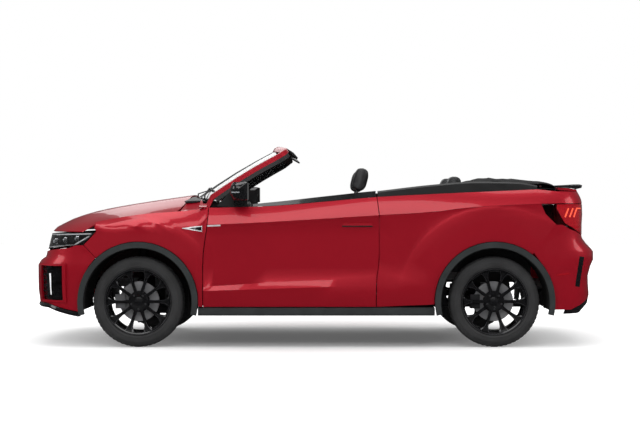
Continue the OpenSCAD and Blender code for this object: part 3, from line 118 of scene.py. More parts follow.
CARPET = Finish("carpet", (0.016, 0.016, 0.017), 0.95, 0.0, 0.0, Pattern.WEAVE, 1200, 0.0008, 0.2)
HOUSING = Finish("lamp_housing", (0.018, 0.018, 0.019), 0.35, 0.2, 0.0, Pattern.GRAIN, 300, 0.0, 0.2)
LIGHT = Finish("lamp_light", (0.88, 0.89, 0.90), 0.2, 0.0, 0.3, Pattern.GRAIN, 400, 0.0, 0.03, 0.0, 0.25)
LENS = Finish("lamp_lens", (0.70, 0.74, 0.78), 0.05, 0.6, 0.5, Pattern.GRAIN, 200, 0.0, 0.05)
TAIL_TUB = Finish("tail_housing", (0.10, 0.002, 0.006), 0.35, 0.0, 0.0, Pattern.GRAIN, 300, 0.0, 0.2)
TAIL_GLOW = Finish("tail_light", (0.90, 0.10, 0.05), 0.2, 0.0, 0.3, Pattern.RIBBED, 200, 0.0002,
                   0.05, 0.0, 0.6)
GRIP_LEATHER = Finish("steering_leather", (0.016, 0.016, 0.017), 0.42, 0.0, 0.0, Pattern.LEATHER, 420,
                      0.0002, 0.2)
SATIN = Finish("satin_metal", (0.16, 0.16, 0.17), 0.3, 0.9, 0.0, Pattern.BRUSHED, 300, 0.0, 0.15)
PLATE = Finish("plate_white", (0.75, 0.75, 0.74), 0.35, 0.0, 0.3, Pattern.GRAIN, 300, 0.0, 0.05)
GLASS = Finish("clear_glass", (0.93, 0.96, 0.95), 0.02, 0.0, 0.0, Pattern.PLAIN, 1, 0.0, 0.0, 1.0)
LAMP_GLASS = Finish("lamp_glass", (0.96, 0.97, 0.98), 0.02, 0.0, 0.0, Pattern.PLAIN, 1, 0.0, 0.0, 1.0)
RED_LENS = Finish("tail_lens", (0.55, 0.01, 0.02), 0.05, 0.0, 0.5, Pattern.RIBBED, 60, 0.0006, 0.1, 0.35)

FINISHED_NODES: tuple[tuple[Finish, str], ...] = (
    (UNDERBODY, "floor_pan rear_bulkhead"),
    (CLADDING, "side_sills wheel_arch_trims"),
    (SHADED_STRUCTURE, "front_structure"),
    (ALLOY, "engine_block knuckle_left knuckle_right"),
    (PAINT, "front_wings rear_quarters front_bumper rear_bumper windscreen_frame bonnet boot_lid"),
    (PAINT, "door_left door_right"),
    (GLOSS, "front_grilles front_splitter rear_diffuser boot_spoiler mirror_left mirror_right"),
    (GLOSS, "door_strip_left door_strip_right"),
    (LAMP_GLASS, "headlamps"),
    (RED_LENS, "tail_lamps"),
    (LINER, "wheel_arch_liners"),
    (GLASS, "windscreen_glass"),
    (CABIN, "dashboard centre_console"),
    (LEATHER, "front_seats rear_seat steering_wheel"),
    (CANVAS, "folded_soft_top"),
    (STEEL, "front_suspension rear_axle exhaust"),
    (PLATE, "number_plates"),
)
NODE_FINISH = {node: finish for finish, nodes in FINISHED_NODES for node in nodes.split()}


def set_inputs(node: bpy.types.Node, values: Mapping[str, Any]) -> None:
    """Set a node's inputs by name."""
    for name, value in values.items():
        node.inputs[name].default_value = value


def add_node(tree: bpy.types.NodeTree, kind: str, values: Mapping[str, Any] | None = None,
             **settings: str) -> bpy.types.Node:
    """Add a shader node.

    Args:
        tree: Tree that receives it.
        kind: Its type, without the common prefix.
        values: Values of its inputs by name.
        settings: Its own settings by name.

    Returns:
        The node.
    """
    made = tree.nodes.new(f"ShaderNode{kind}")
    for name, value in settings.items():
        setattr(made, name, value)
    set_inputs(made, values or {})
    return made


def link_all(tree: bpy.types.NodeTree, *pairs: tuple[bpy.types.NodeSocket, bpy.types.NodeSocket]) -> None:
    """Link each output to its input."""
    for source, target in pairs:
        tree.links.new(source, target)


class Materials:
    """Builds each finish once as a node material on Object coordinates."""

    COAT_ROUGHNESS = 0.03
    CLEAR_FROM, CLEAR_IOR = 0.9, 1.45
    BUMP_STRENGTH = 0.6
    WAVES_PER_SCALE, WAVE_DISTORTION = 6, 0.4
    FINE_DETAIL, CLOUD_DETAIL = 3, 2
    FLAKE_SCALE, CLOUD_SCALE = 1500, 9
    RAMP_ENDS = (0.3, 0.7)

    def __init__(self) -> None:
        self._made: dict[str, bpy.types.Material] = {}

    def get(self, finish: Finish) -> bpy.types.Material:
        """Return the material of a finish, made on first use.

        Args:
            finish: The finish wanted.

        Returns:
            Its material.
        """
        if finish.name not in self._made:
            self._made[finish.name] = self._build(finish)
        return self._made[finish.name]

    def _build(self, finish: Finish) -> bpy.types.Material:
        material = bpy.data.materials.new(finish.name)
        material.use_nodes = True
        tree = material.node_tree
        shader = tree.nodes["Principled BSDF"]
        colour = (*finish.color, 1)
        values = {"Base Color": colour, "Roughness": finish.roughness, "Metallic": finish.metallic,
                  "Coat Weight": finish.coat, "Coat Roughness": self.COAT_ROUGHNESS,
                  "Transmission Weight": finish.transmission, "Emission Color": colour,
                  "Emission Strength": finish.emission}
        if finish.transmission > self.CLEAR_FROM:
            values["IOR"] = self.CLEAR_IOR
        set_inputs(shader, values)
        if finish.pattern is Pattern.PLAIN:
            return material
        position = add_node(tree, "TexCoord").outputs["Object"]
        fine = self._texture(tree, finish, position)
        self._colour(tree, finish, position, shader.inputs)
        if finish.bump > 0:
            bump = add_node(tree, "Bump", {"Distance": finish.bump, "Strength": self.BUMP_STRENGTH})
            link_all(tree, (fine, bump.inputs["Height"]), (bump.outputs["Normal"], shader.inputs["Normal"]))
        return material

    def _texture(self, tree: bpy.types.NodeTree, finish: Finish,
                 position: bpy.types.NodeSocket) -> bpy.types.NodeSocket:
        """Add the pattern's fine height texture.

        Args:
            tree: The material's nodes.
            finish: The finish.
            position: Socket of the Object coordinates.

        Returns:
            Socket that carries the height.
        """
        result = "Fac"
        if finish.pattern in (Pattern.WEAVE, Pattern.BRUSHED, Pattern.RIBBED):
            values = {"Scale": finish.scale / self.WAVES_PER_SCALE, "Distortion": self.WAVE_DISTORTION}
            bands = "Z" if finish.pattern is Pattern.RIBBED else "DIAGONAL"
            texture = add_node(tree, "TexWave", values, bands_direction=bands)
            if finish.pattern is Pattern.BRUSHED:
                texture.wave_type = "RINGS"
                texture.rings_direction = "Y"
        elif finish.pattern is Pattern.LEATHER:
            texture = add_node(tree, "TexVoronoi", {"Scale": finish.scale}, feature="DISTANCE_TO_EDGE")
            result = "Distance"
        else:
            texture = add_node(tree, "TexNoise", {"Scale": finish.scale, "Detail": self.FINE_DETAIL})
        tree.links.new(position, texture.inputs["Vector"])
        return texture.outputs[result]

    def _colour(self, tree: bpy.types.NodeTree, finish: Finish, position: bpy.types.NodeSocket,
                inputs: bpy.types.NodeInputs) -> None:
        """Vary colour and roughness a little over the surface.

        Args:
            tree: The material's nodes.
            finish: The finish.
            position: Socket of the Object coordinates.
            inputs: The shader's sockets.
        """
        scale = self.FLAKE_SCALE if finish.pattern is Pattern.FLAKE else self.CLOUD_SCALE
        noise = add_node(tree, "TexNoise", {"Scale": scale, "Detail": self.CLOUD_DETAIL})
        less, more = 1 - finish.vary, 1 + finish.vary
        ramp = add_node(tree, "ValToRGB")
        low, high = ramp.color_ramp.elements
        low.position, high.position = self.RAMP_ENDS
        low.color = (*[c * less for c in finish.color], 1)
        high.color = (*[min(c * more, 1) for c in finish.color], 1)
        spread = add_node(tree, "MapRange", {"To Min": finish.roughness * less,
                                             "To Max": min(finish.roughness * more, 1)})
        cloud = noise.outputs["Fac"]
        link_all(tree, (position, noise.inputs["Vector"]), (cloud, ramp.inputs["Fac"]),
                 (cloud, spread.inputs["Value"]), (ramp.outputs["Color"], inputs["Base Color"]),
                 (spread.outputs["Result"], inputs["Roughness"]))


MATERIALS = Materials()


MERGE = 0.00002


class Smoother:
    """Gives CAD solids smooth shading across gentle edges, by modifiers only."""

    LIMIT_DEG = 32.0

    def __init__(self) -> None:
        tree = bpy.data.node_groups.new("smooth_by_angle", "GeometryNodeTree")
        tree.interface.new_socket("Geometry", in_out="INPUT", socket_type="NodeSocketGeometry")
        tree.interface.new_socket("Geometry", in_out="OUTPUT", socket_type="NodeSocketGeometry")
        nodes, links = tree.nodes, tree.links
        source, result = nodes.new("NodeGroupInput"), nodes.new("NodeGroupOutput")
        angle = nodes.new("GeometryNodeInputMeshEdgeAngle")
        gentle = nodes.new("FunctionNodeCompare")
        gentle.operation = "LESS_THAN"
        gentle.inputs[1].default_value = math.radians(self.LIMIT_DEG)
        faces, edges = nodes.new("GeometryNodeSetShadeSmooth"), nodes.new("GeometryNodeSetShadeSmooth")
        edges.domain = "EDGE"
        links.new(angle.outputs["Unsigned Angle"], gentle.inputs[0])
        links.new(source.outputs[0], faces.inputs["Geometry"])
        links.new(faces.outputs[0], edges.inputs["Geometry"])
        links.new(gentle.outputs[0], edges.inputs["Shade Smooth"])
        links.new(edges.outputs[0], result.inputs[0])
        self.tree = tree

    def apply(self, obj: bpy.types.Object) -> None:
        """Add weld and smoothing modifiers to an object.

        Args:
            obj: The object.
        """
        weld = obj.modifiers.new("weld", "WELD")
        weld.merge_threshold = MERGE
        smooth = obj.modifiers.new("smooth", "NODES")
        smooth.node_group = self.tree


SMOOTHER = Smoother()


def dress(obj: bpy.types.Object, finish: Finish) -> None:
    """Give every slot of an object one finish.

    Args:
        obj: The object.
        finish: Its finish.
    """
    material = MATERIALS.get(finish)
    if not obj.material_slots:
        obj.data.materials.append(material)
    for slot in obj.material_slots:
        slot.material = material


def dress_nodes() -> None:
    """Finish and smooth every CAD node."""
    for name, node in NODES.items():
        if name.startswith("tyre"):
            finish = RUBBER
        elif name.startswith("rim"):
            finish = WHEEL
        else:
            finish = NODE_FINISH[name]
        dress(node, finish)
        SMOOTHER.apply(node)
    log.info("dressed %d nodes", len(NODES))


TREES: dict[str, BVHTree] = {}
SIDES = {"left": 1.0, "right": -1.0}
FRONT_AXLE_X, REAR_AXLE_X = 1.299, -1.331
TYRE_R, RIM_R, RIM_HALF_W = 0.335, 0.246, 0.0955
WHEELS = {
    "front_left": (FRONT_AXLE_X, 0.773, 1.0), "front_right": (FRONT_AXLE_X, -0.773, -1.0),
    "rear_left": (REAR_AXLE_X, 0.7705, 1.0), "rear_right": (REAR_AXLE_X, -0.7705, -1.0),
}


def merge(form: bmesh.types.BMesh) -> None:
    """Join vertices that share a place."""
    bmesh.ops.remove_doubles(form, verts=form.verts, dist=MERGE)


def round_edges(form: bmesh.types.BMesh, edges: Sequence[bmesh.types.BMEdge], radius: float,
                segments: int = 2) -> None:
    """Round some edges of a form.

    Args:
        form: The form.
        edges: The edges.
        radius: Edge radius in metres.
        segments: Faces round each edge.
    """
    bmesh.ops.bevel(form, geom=edges, offset=radius, segments=segments, profile=0.5, affect="EDGES",
                    material=-1)


def add_piece(name: str, form: bmesh.types.BMesh, finish: Finish, body: str,
              replaced: Sequence[str] = (), smooth_deg: float = 35.0) -> bpy.types.Object:
    """Turn a form into a piece of the car.

    Args:
        name: Piece name.
        form: Its geometry in the row frame; freed here.
        finish: Its finish.
        body: Body that it rides on.
        replaced: CAD nodes that it stands for.
        smooth_deg: Edges gentler than this shade smooth.

    Returns:
        The new object.
    """
    bmesh.ops.recalc_face_normals(form, faces=form.faces)
    for face in form.faces:
        face.smooth = True
    limit = math.radians(smooth_deg)
    for edge in form.edges:
        edge.smooth = len(edge.link_faces) == 2 and edge.calc_face_angle(math.pi) < limit
    mesh = bpy.data.meshes.new(name)
    form.to_mesh(mesh)
    form.free()
    mesh.materials.append(MATERIALS.get(finish))
    piece = bpy.data.objects.new(name, mesh)
    bpy.context.scene.collection.objects.link(piece)
    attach(piece, body)
    if replaced:
        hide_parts(*replaced)
    log.info("%s: %d faces on %s", name, len(mesh.polygons), body)
    return piece


def spun(form: bmesh.types.BMesh, profile: Pairs, center: Point, side: float,
         steps: int = 96, closed: bool = True) -> None:
    """Spin a profile of (radius, offset along Y) round an axis along Y.

    Args:
        form: Form that receives the result.
        profile: Points of radius and outward offset.
        center: Point on the axis.
        side: 1 on the left, -1 on the right.
        steps: Segments in the full turn.
        closed: Whether the profile's last point joins its first.
    """
    middle = Vector(center)
    verts = [form.verts.new(middle + Vector((r, side * y, 0))) for r, y in profile]
    pairs = list(zip(verts, verts[1:])) + ([(verts[-1], verts[0])] if closed else [])
    edges = [form.edges.new(pair) for pair in pairs]
    bmesh.ops.spin(form, geom=verts + edges, cent=middle, axis=(0, 1, 0), angle=math.tau, steps=steps,
                   use_merge=True, use_normal_flip=False)
    merge(form)


def boxed(form: bmesh.types.BMesh, low: Point, high: Point, bevel: float = 0.0, segments: int = 2) -> list:
    """Add a box between two corners, with rounded edges.

    Args:
        form: Form that receives the box.
        low: Lowest corner.
        high: Highest corner.
        bevel: Edge radius in metres.
        segments: Bevel segments.

    Returns:
        The box's vertices.
    """
    before = set(form.verts)
    size = [b - a for a, b in zip(low, high)]
    middle = [(a + b) / 2 for a, b in zip(low, high)]
    matrix = Matrix.Translation(middle) @ Matrix.Diagonal((*size, 1.0))
    made = bmesh.ops.create_cube(form, size=1.0, matrix=matrix)["verts"]
    if bevel > 0:
        round_edges(form, list({edge for vert in made for edge in vert.link_edges}), bevel, segments)
    return [vert for vert in form.verts if vert not in before]


def turned(form: bmesh.types.BMesh, verts: Iterable[bmesh.types.BMVert], center: Point, axis: str,
           degrees: float) -> None:
    """Rotate vertices about a point.

    Args:
        form: Form that they belong to.
        verts: The vertices.
        center: The point.
        axis: Axis letter.
        degrees: Angle.
    """
    bmesh.ops.rotate(form, verts=list(verts), cent=Vector(center),
                     matrix=Matrix.Rotation(math.radians(degrees), 3, axis))


def lofted(form: bmesh.types.BMesh, rings: Sequence[Sequence[Point]], capped: bool = True) -> None:
    """Bridge closed rings of equal size into one skin.

    Args:
        form: Form that receives the skin.
        rings: Rings of points, in order.
        capped: Whether the two ends are closed.
    """
    made = []
    for ring in rings:
        verts = [form.verts.new(Vector(point)) for point in ring]
        count = len(verts)
        made.append([form.edges.new((verts[i], verts[(i + 1) % count])) for i in range(count)])
    for first, second in zip(made, made[1:]):
        bmesh.ops.bridge_loops(form, edges=first + second)
    if capped:
        for loop in (made[0], made[-1]):
            bmesh.ops.contextual_create(form, geom=loop)


def swept(form: bmesh.types.BMesh, path: Sequence[Point], section: Pairs, up: Point = (0, 0, 1)) -> None:
    """Carry a flat section along a path.

    Args:
        form: Form that receives the bar.
        path: Points of the path.
        section: Section points as (across, up).
        up: Direction that stays up.
    """
    points = [Vector(p) for p in path]
    rings = []
    for index, point in enumerate(points):
        along = (points[min(index + 1, len(points) - 1)] - points[max(index - 1, 0)]).normalized()
        across = along.cross(Vector(up)).normalized()
        top = across.cross(along).normalized()
        rings.append([point + across * a + top * b for a, b in section])
    lofted(form, rings)


def box_piece(name: str, low: Point, high: Point, bevel: float, finish: Finish, body: str = "body",
              segments: int = 2, smooth_deg: float = 35.0) -> bpy.types.Object:
    """Make a piece that is one rounded box; the arguments are those of boxed and add_piece."""
    form = bmesh.new()
    boxed(form, low, high, bevel, segments)
    return add_piece(name, form, finish, body, smooth_deg=smooth_deg)


def bar_piece(name: str, path: Sequence[Point], section: Pairs, finish: Finish, body: str = "body",
              up: Point = (0, 0, 1), smooth_deg: float = 35.0) -> bpy.types.Object:
    """Make a piece that is one swept bar; the arguments are those of swept and add_piece."""
    form = bmesh.new()
    swept(form, path, section, up)
    return add_piece(name, form, finish, body, smooth_deg=smooth_deg)


def skin_piece(name: str, rings: Sequence[Sequence[Point]], finish: Finish, body: str = "body",
               replaced: Sequence[str] = (), smooth_deg: float = 35.0) -> bpy.types.Object:
    """Make a piece that is one lofted skin; the arguments are those of lofted and add_piece."""
    form = bmesh.new()
    lofted(form, rings)
    return add_piece(name, form, finish, body, replaced, smooth_deg)


def round_section(radius: float, count: int = 12) -> list[tuple[float, float]]:
    """Points of a circle."""
    turns = [math.tau * i / count for i in range(count)]
    return [(radius * math.cos(t), radius * math.sin(t)) for t in turns]


@dataclass(frozen=True)
class Cut:
    """A plane that limits a patch; what lies on its normal's side stays."""
    place: Point
    normal: Point


def strip_cuts(start: tuple[float, float], end: tuple[float, float], half: float) -> list[Cut]:
    """Planes of a straight strip seen from the side.

    Args:
        start: X and Z of its first end.
        end: X and Z of its last end.
        half: Half its width.

    Returns:
        Planes along its two edges and across its two ends.
    """
    a, b = Vector((start[0], 0, start[1])), Vector((end[0], 0, end[1]))
    along = (b - a).normalized()
    across = Vector((-along.z, 0, along.x))
    return [Cut(a - across * half, across), Cut(a + across * half, -across), Cut(a, along), Cut(b, -along)]


def islands(form: bmesh.types.BMesh) -> list[Group]:
    """Sort a form's vertices into joined groups.

    Args:
        form: The form.

    Returns:
        Its groups of vertices.
    """
    left, groups = set(form.verts), []
    while left:
        stack, group = [left.pop()], []
        while stack:
            vert = stack.pop()
            group.append(vert)
            near = {edge.other_vert(vert) for edge in vert.link_edges} & left
            left -= near
            stack.extend(near)
        groups.append(group)
    return groups


def span(verts: Group, axis: int) -> tuple[float, float]:
    """Least and greatest place of vertices on an axis."""
    values = [vert.co[axis] for vert in verts]
    return min(values), max(values)


def node_form(node: str, wanted: Wanted | None = None) -> bmesh.types.BMesh:
    """Take a CAD node's solids as a form.

    Args:
        node: The node.
        wanted: Tells from a solid's vertices whether it is kept; without it all are.

    Returns:
        The form.
    """
    form = bmesh.new()
    form.from_mesh(NODES[node].data)
    merge(form)
    if wanted:
        unwanted = [vert for group in islands(form) if not wanted(group) for vert in group]
        bmesh.ops.delete(form, geom=unwanted, context="VERTS")
    return form


def patch(name: str, node: str, keep: Callable[[Vector, Vector], bool], cuts: Sequence[Cut], lift: float,
          thick: float, finish: Finish, body: str, replaced: Sequence[str] = ()) -> bpy.types.Object:
    """Make a thin piece that follows part of a CAD node's surface.

    Args:
        name: Piece name.
        node: CAD node whose surface is followed.
        keep: Tells from a face's middle and normal whether it is wanted.
        cuts: Planes that trim the patch.
        lift: Distance of its outer face from the surface, outward.
        thick: Its thickness, inward.
        finish: Its finish.
        body: Body that it rides on.
        replaced: CAD nodes that it stands for.

    Returns:
        The piece.
    """
    form = node_form(node)
    form.normal_update()
    unwanted = [f for f in form.faces if not keep(f.calc_center_median(), f.normal)]
    bmesh.ops.delete(form, geom=unwanted, context="FACES")
    for cut in cuts:
        everything = form.verts[:] + form.edges[:] + form.faces[:]
        bmesh.ops.bisect_plane(form, geom=everything, dist=MERGE / 2, plane_co=Vector(cut.place),
                               plane_no=Vector(cut.normal), clear_inner=True)
    form.normal_update()
    if not form.faces:
        raise ValueError(f"{name}: nothing of {node} is left")
    normals = {vert: vert.normal.copy() for vert in form.verts}
    outer = form.faces[:]
    made = bmesh.ops.duplicate(form, geom=form.verts[:] + form.edges[:] + outer)
    backs = {vert: made["vert_map"][vert] for vert in normals}
    for vert, normal in normals.items():
        vert.co += normal * lift
        backs[vert].co = vert.co - normal * thick
    rim = [edge for face in outer for edge in face.edges if len(edge.link_faces) == 1]
    for edge in rim:
        a, b = edge.verts
        form.faces.new((a, b, backs[b], backs[a]))
    return add_piece(name, form, finish, body, replaced)


def tree_of(node: str, wanted: Wanted | None = None) -> BVHTree:
    """Make a search tree of a CAD node's solids; the arguments are those of node_form."""
    form = node_form(node, wanted)
    tree = BVHTree.FromBMesh(form)
    form.free()
    return tree


def surface(node: str, start: Point, direction: Point) -> Vector:
    """Find where a straight line first meets a CAD node.

    Args:
        node: CAD node.
        start: Start of the line.
        direction: Its direction.

    Returns:
        The point where it meets the node.
    """
    if node not in TREES:
        TREES[node] = tree_of(node)
    place = TREES[node].ray_cast(Vector(start), Vector(direction))[0]
    if place is None:
        raise ValueError(f"{node} isn't met from {tuple(start)}")
    return place


class Wheel:
    """Tyre, rim and brake disc of one wheel."""

    TREAD = ((0.241, 0.0880), (0.2535, 0.1003), (0.262, 0.1036), (0.2635, 0.1050), (0.2670, 0.1052),
             (0.2685, 0.1046), (0.286, 0.1072), (0.297, 0.1058), (0.2985, 0.1047), (0.312, 0.0992),
             (0.3225, 0.0926), (0.3290, 0.0850), (0.3325, 0.0765), (0.3342, 0.0640), (0.3270, 0.0622),
             (0.3270, 0.0545), (0.3347, 0.0527), (0.3350, 0.0190), (0.3275, 0.0172), (0.3275, 0.0088),
             (0.3350, 0.0070))
    LINING = ((0.3170, 0.0), (0.3150, 0.070), (0.3020, 0.0930), (0.2700, 0.0940), (0.2440, 0.0800))
    SPOKES = 10
    SPOKE = ((0.044, 0.0720, 0.0150), (0.080, 0.0712, 0.0098), (0.120, 0.0712, 0.0082),
             (0.160, 0.0730, 0.0092), (0.188, 0.0755, 0.0130), (0.205, 0.0785, 0.0210),
             (0.218, 0.0815, 0.0300), (0.2265, 0.0840, 0.0350))
    SPOKE_DEPTH = 0.022
    FLARED_FROM, FOOT_SHARE = 3, 0.80
    FOOT_LINE = ((-0.0014, -0.002), (-0.0014, 0.0006), (0.0014, 0.0006), (0.0014, -0.002))
    NUTS, NUT_START_DEG, NUT_CIRCLE, NUT_FACE = 5, 18, 0.055, 0.0728
    NUT = {"cap_ends": True, "segments": 6, "radius1": 0.0095, "radius2": 0.0078, "depth": 0.006}
    SHOULDER, CENTRE_BAND, STAGGER_UNDER = (0.062, 0.08), (0.018, 0.0535), 0.05
    GROOVE_R, GROOVE_DEPTH, GROOVE_DEG, GROOVE_EVERY = 0.331, 0.005, 2, 3
    CONTACT_DEG = (-95, -85)
    W, FACE, DISC_R = RIM_HALF_W, 0.019, 0.148
    BARREL = ((RIM_R - 0.030, 0.034 - W), (RIM_R - 0.016, 0.005 - W), (RIM_R - 0.0063, -W - 0.003),
              (RIM_R, -W - 0.003), (RIM_R, 0.0013 - W), (RIM_R - 0.0063, 0.0076 - W),
              (RIM_R - 0.020, 0.034 - W), (RIM_R - 0.020, W - 0.022), (RIM_R - 0.0063, W - 0.0076),
              (RIM_R, W - 0.0013), (RIM_R, W + 0.002), (RIM_R - 0.0012, W + 0.003),
              (RIM_R - 0.0050, W + 0.003), (RIM_R - 0.0072, W + 0.0008), (RIM_R - 0.0085, W - 0.006),
              (RIM_R - 0.0150, W - 0.009), (RIM_R - 0.0200, W - 0.020), (RIM_R - 0.0245, W - 0.026))
    LIP = ((RIM_R - 0.0066, W + 0.0030), (RIM_R - 0.0030, W + 0.0036), (RIM_R - 0.0030, W + 0.0022),
           (RIM_R - 0.0066, W + 0.0010))
    HUB = ((0.0, 0.029), (0.074, 0.029), (0.074, 0.0690), (0.070, 0.0730), (0.042, 0.0742),
           (0.036, 0.0710), (0.0, 0.0710))
    CAP = ((0.0, 0.0705), (0.0325, 0.0705), (0.0325, 0.0742), (0.0300, 0.0755), (0.0240, 0.0750),
           (0.0225, 0.0758), (0.0, 0.0760))
    DISC_EDGE = ((0.076, FACE), (DISC_R - 0.001, FACE), (DISC_R, FACE - 0.001), (DISC_R, FACE - 0.007),
                 (0.130, FACE - 0.007), (0.130, FACE - 0.015), (DISC_R, FACE - 0.015),
                 (DISC_R, FACE - 0.022), (0.082, FACE - 0.022), (0.082, FACE - 0.006), (0.076, FACE - 0.006))
    BELL = ((0.0, 0.0152), (0.080, 0.0152), (0.080, FACE + 0.007), (0.076, 0.029), (0.0, 0.029))

    def __init__(self, place: str) -> None:
        x, y, self.side = WHEELS[place]
        self.center = Vector((x, y, TYRE_R))
        self.place = place
        self.body = f"wheel_{place}"

    def build(self) -> None:
        """Make every piece of the wheel."""
        self._tyre()
        self._round("rim_barrel", self.BARREL, WHEEL, 120, replaced=[f"rim_{self.place}"])
        self._round("rim_edge", self.LIP, SATIN, 120)
        self._spokes()
        self._round("rim_hub", self.HUB, WHEEL, 72, closed=False)
        self._round("rim_cap", self.CAP, GLOSS, 60, closed=False)
        self._nuts()
        self._round("brake_disc", self.DISC_EDGE, DISC, 96)
        self._round("brake_bell", self.BELL, STEEL, 72, closed=False)

    def _round(self, part: str, profile: Pairs, finish: Finish, steps: int, closed: bool = True,
               replaced: Sequence[str] = ()) -> None:
        """Make a piece by a full turn of a profile; the arguments are those of spun and add_piece."""
        form = bmesh.new()
        spun(form, profile, self.center, self.side, steps, closed)
        add_piece(f"{part}_{self.place}", form, finish, self.body, replaced)

    def _tyre(self) -> None:
        form = bmesh.new()
        outer = list(self.TREAD)
        whole = outer + [(r, -y) for r, y in reversed(outer)]
        inner = [(r, -y) for r, y in reversed(self.LINING)] + list(self.LINING[1:])
        spun(form, whole + inner, self.center, self.side, 180)
        self._cut_blocks(form)
        add_piece(f"tyre_tread_{self.place}", form, RUBBER, self.body, [f"tyre_{self.place}"], 28)

    def _cut_blocks(self, form: bmesh.types.BMesh) -> None:
        """Press cross grooves into the shoulders, except where the tyre stands."""
        bands = (self.SHOULDER, self.CENTRE_BAND)
        for vert in form.verts:
            offset = vert.co - self.center
            radius, across = math.hypot(offset.x, offset.z), abs(offset.y)
            turn = math.degrees(math.atan2(offset.z, offset.x))
            step = round(turn / self.GROOVE_DEG) + (1 if across < self.STAGGER_UNDER else 0)
            in_band = radius > self.GROOVE_R and any(low < across < high for low, high in bands)
            stands = self.CONTACT_DEG[0] < turn < self.CONTACT_DEG[1]
            if in_band and step % self.GROOVE_EVERY == 0 and not stands:
                vert.co -= Vector((offset.x, 0, offset.z)).normalized() * self.GROOVE_DEPTH

    def _section(self, radius: float, face: float, half: float) -> list[Vector]:
        """One closed section across a spoke that points along +X."""
        back = face - self.SPOKE_DEPTH
        shape = ((-half - 0.004, back), (-half - 0.002, face - 0.006), (-half * 0.75, face),
                 (half * 0.75, face), (half + 0.002, face - 0.006), (half + 0.004, back))
        return [self.center + Vector((radius, self.side * y, z)) for z, y in shape]

    def _around(self, form: bmesh.types.BMesh, make: Callable[[], None], count: int,
                start: float = 0.0) -> None:
        """Repeat a form round the axle.

        Args:
            form: Form that receives it.
            make: Adds one to the form.
            count: How many.
            start: Angle of the first.
        """
        for index in range(count):
            before = set(form.verts)
            make()
            fresh = [vert for vert in form.verts if vert not in before]
            turned(form, fresh, self.center, "Y", start + index * 360 / count)

    def _spokes(self) -> None:
        form = bmesh.new()
        self._around(form, lambda: lofted(form, [self._section(*s) for s in self.SPOKE]), self.SPOKES)
        add_piece(f"rim_spokes_{self.place}", form, WHEEL, self.body, smooth_deg=30)
        feet = bmesh.new()
        self._around(feet, lambda: self._foot_edges(feet), self.SPOKES)
        add_piece(f"rim_feet_{self.place}", feet, SATIN, self.body)

    def _foot_edges(self, form: bmesh.types.BMesh) -> None:
        """Satin lines along both flanks of a spoke's flared foot."""
        for sign in (-1, 1):
            rings = []
            for radius, face, half in self.SPOKE[self.FLARED_FROM:]:
                z = sign * half * self.FOOT_SHARE
                rings.append([self.center + Vector((radius, self.side * (face + dy), z + dz))
                              for dz, dy in self.FOOT_LINE])
            lofted(form, rings)

    def _nuts(self) -> None:
        form = bmesh.new()
        place = self.center + Vector((self.NUT_CIRCLE, self.side * self.NUT_FACE, 0))
        matrix = Matrix.Translation(place) @ Matrix.Rotation(math.radians(-90 * self.side), 4, "X")
        self._around(form, lambda: bmesh.ops.create_cone(form, matrix=matrix, **self.NUT), self.NUTS,
                     self.NUT_START_DEG)
        add_piece(f"rim_nuts_{self.place}", form, SATIN, self.body)


def facing(side: float, fore: float, limit: float = 0.72) -> Callable[[Vector, Vector], bool]:
    """Make a test for the faces that look out of the car's front or rear corner.

    Args:
        side: 1 on the left, -1 on the right.
        fore: 1 at the nose, -1 at the tail.
        limit: How squarely a face has to look outward.

    Returns:
        Test of a face's middle and normal.
    """
    def keep(middle: Vector, normal: Vector) -> bool:
        out, ahead = side * normal.y, fore * normal.x
        return side * middle.y > 0 and out + ahead > limit and out > -0.25 and ahead > -0.25
    return keep


def flank(side: float) -> Callable[[Vector, Vector], bool]:
    """Make a test for the faces that look out of one flank."""
    return lambda middle, normal: side * middle.y > 0 and side * normal.y > 0.6


COVER_THICK = 0.0025


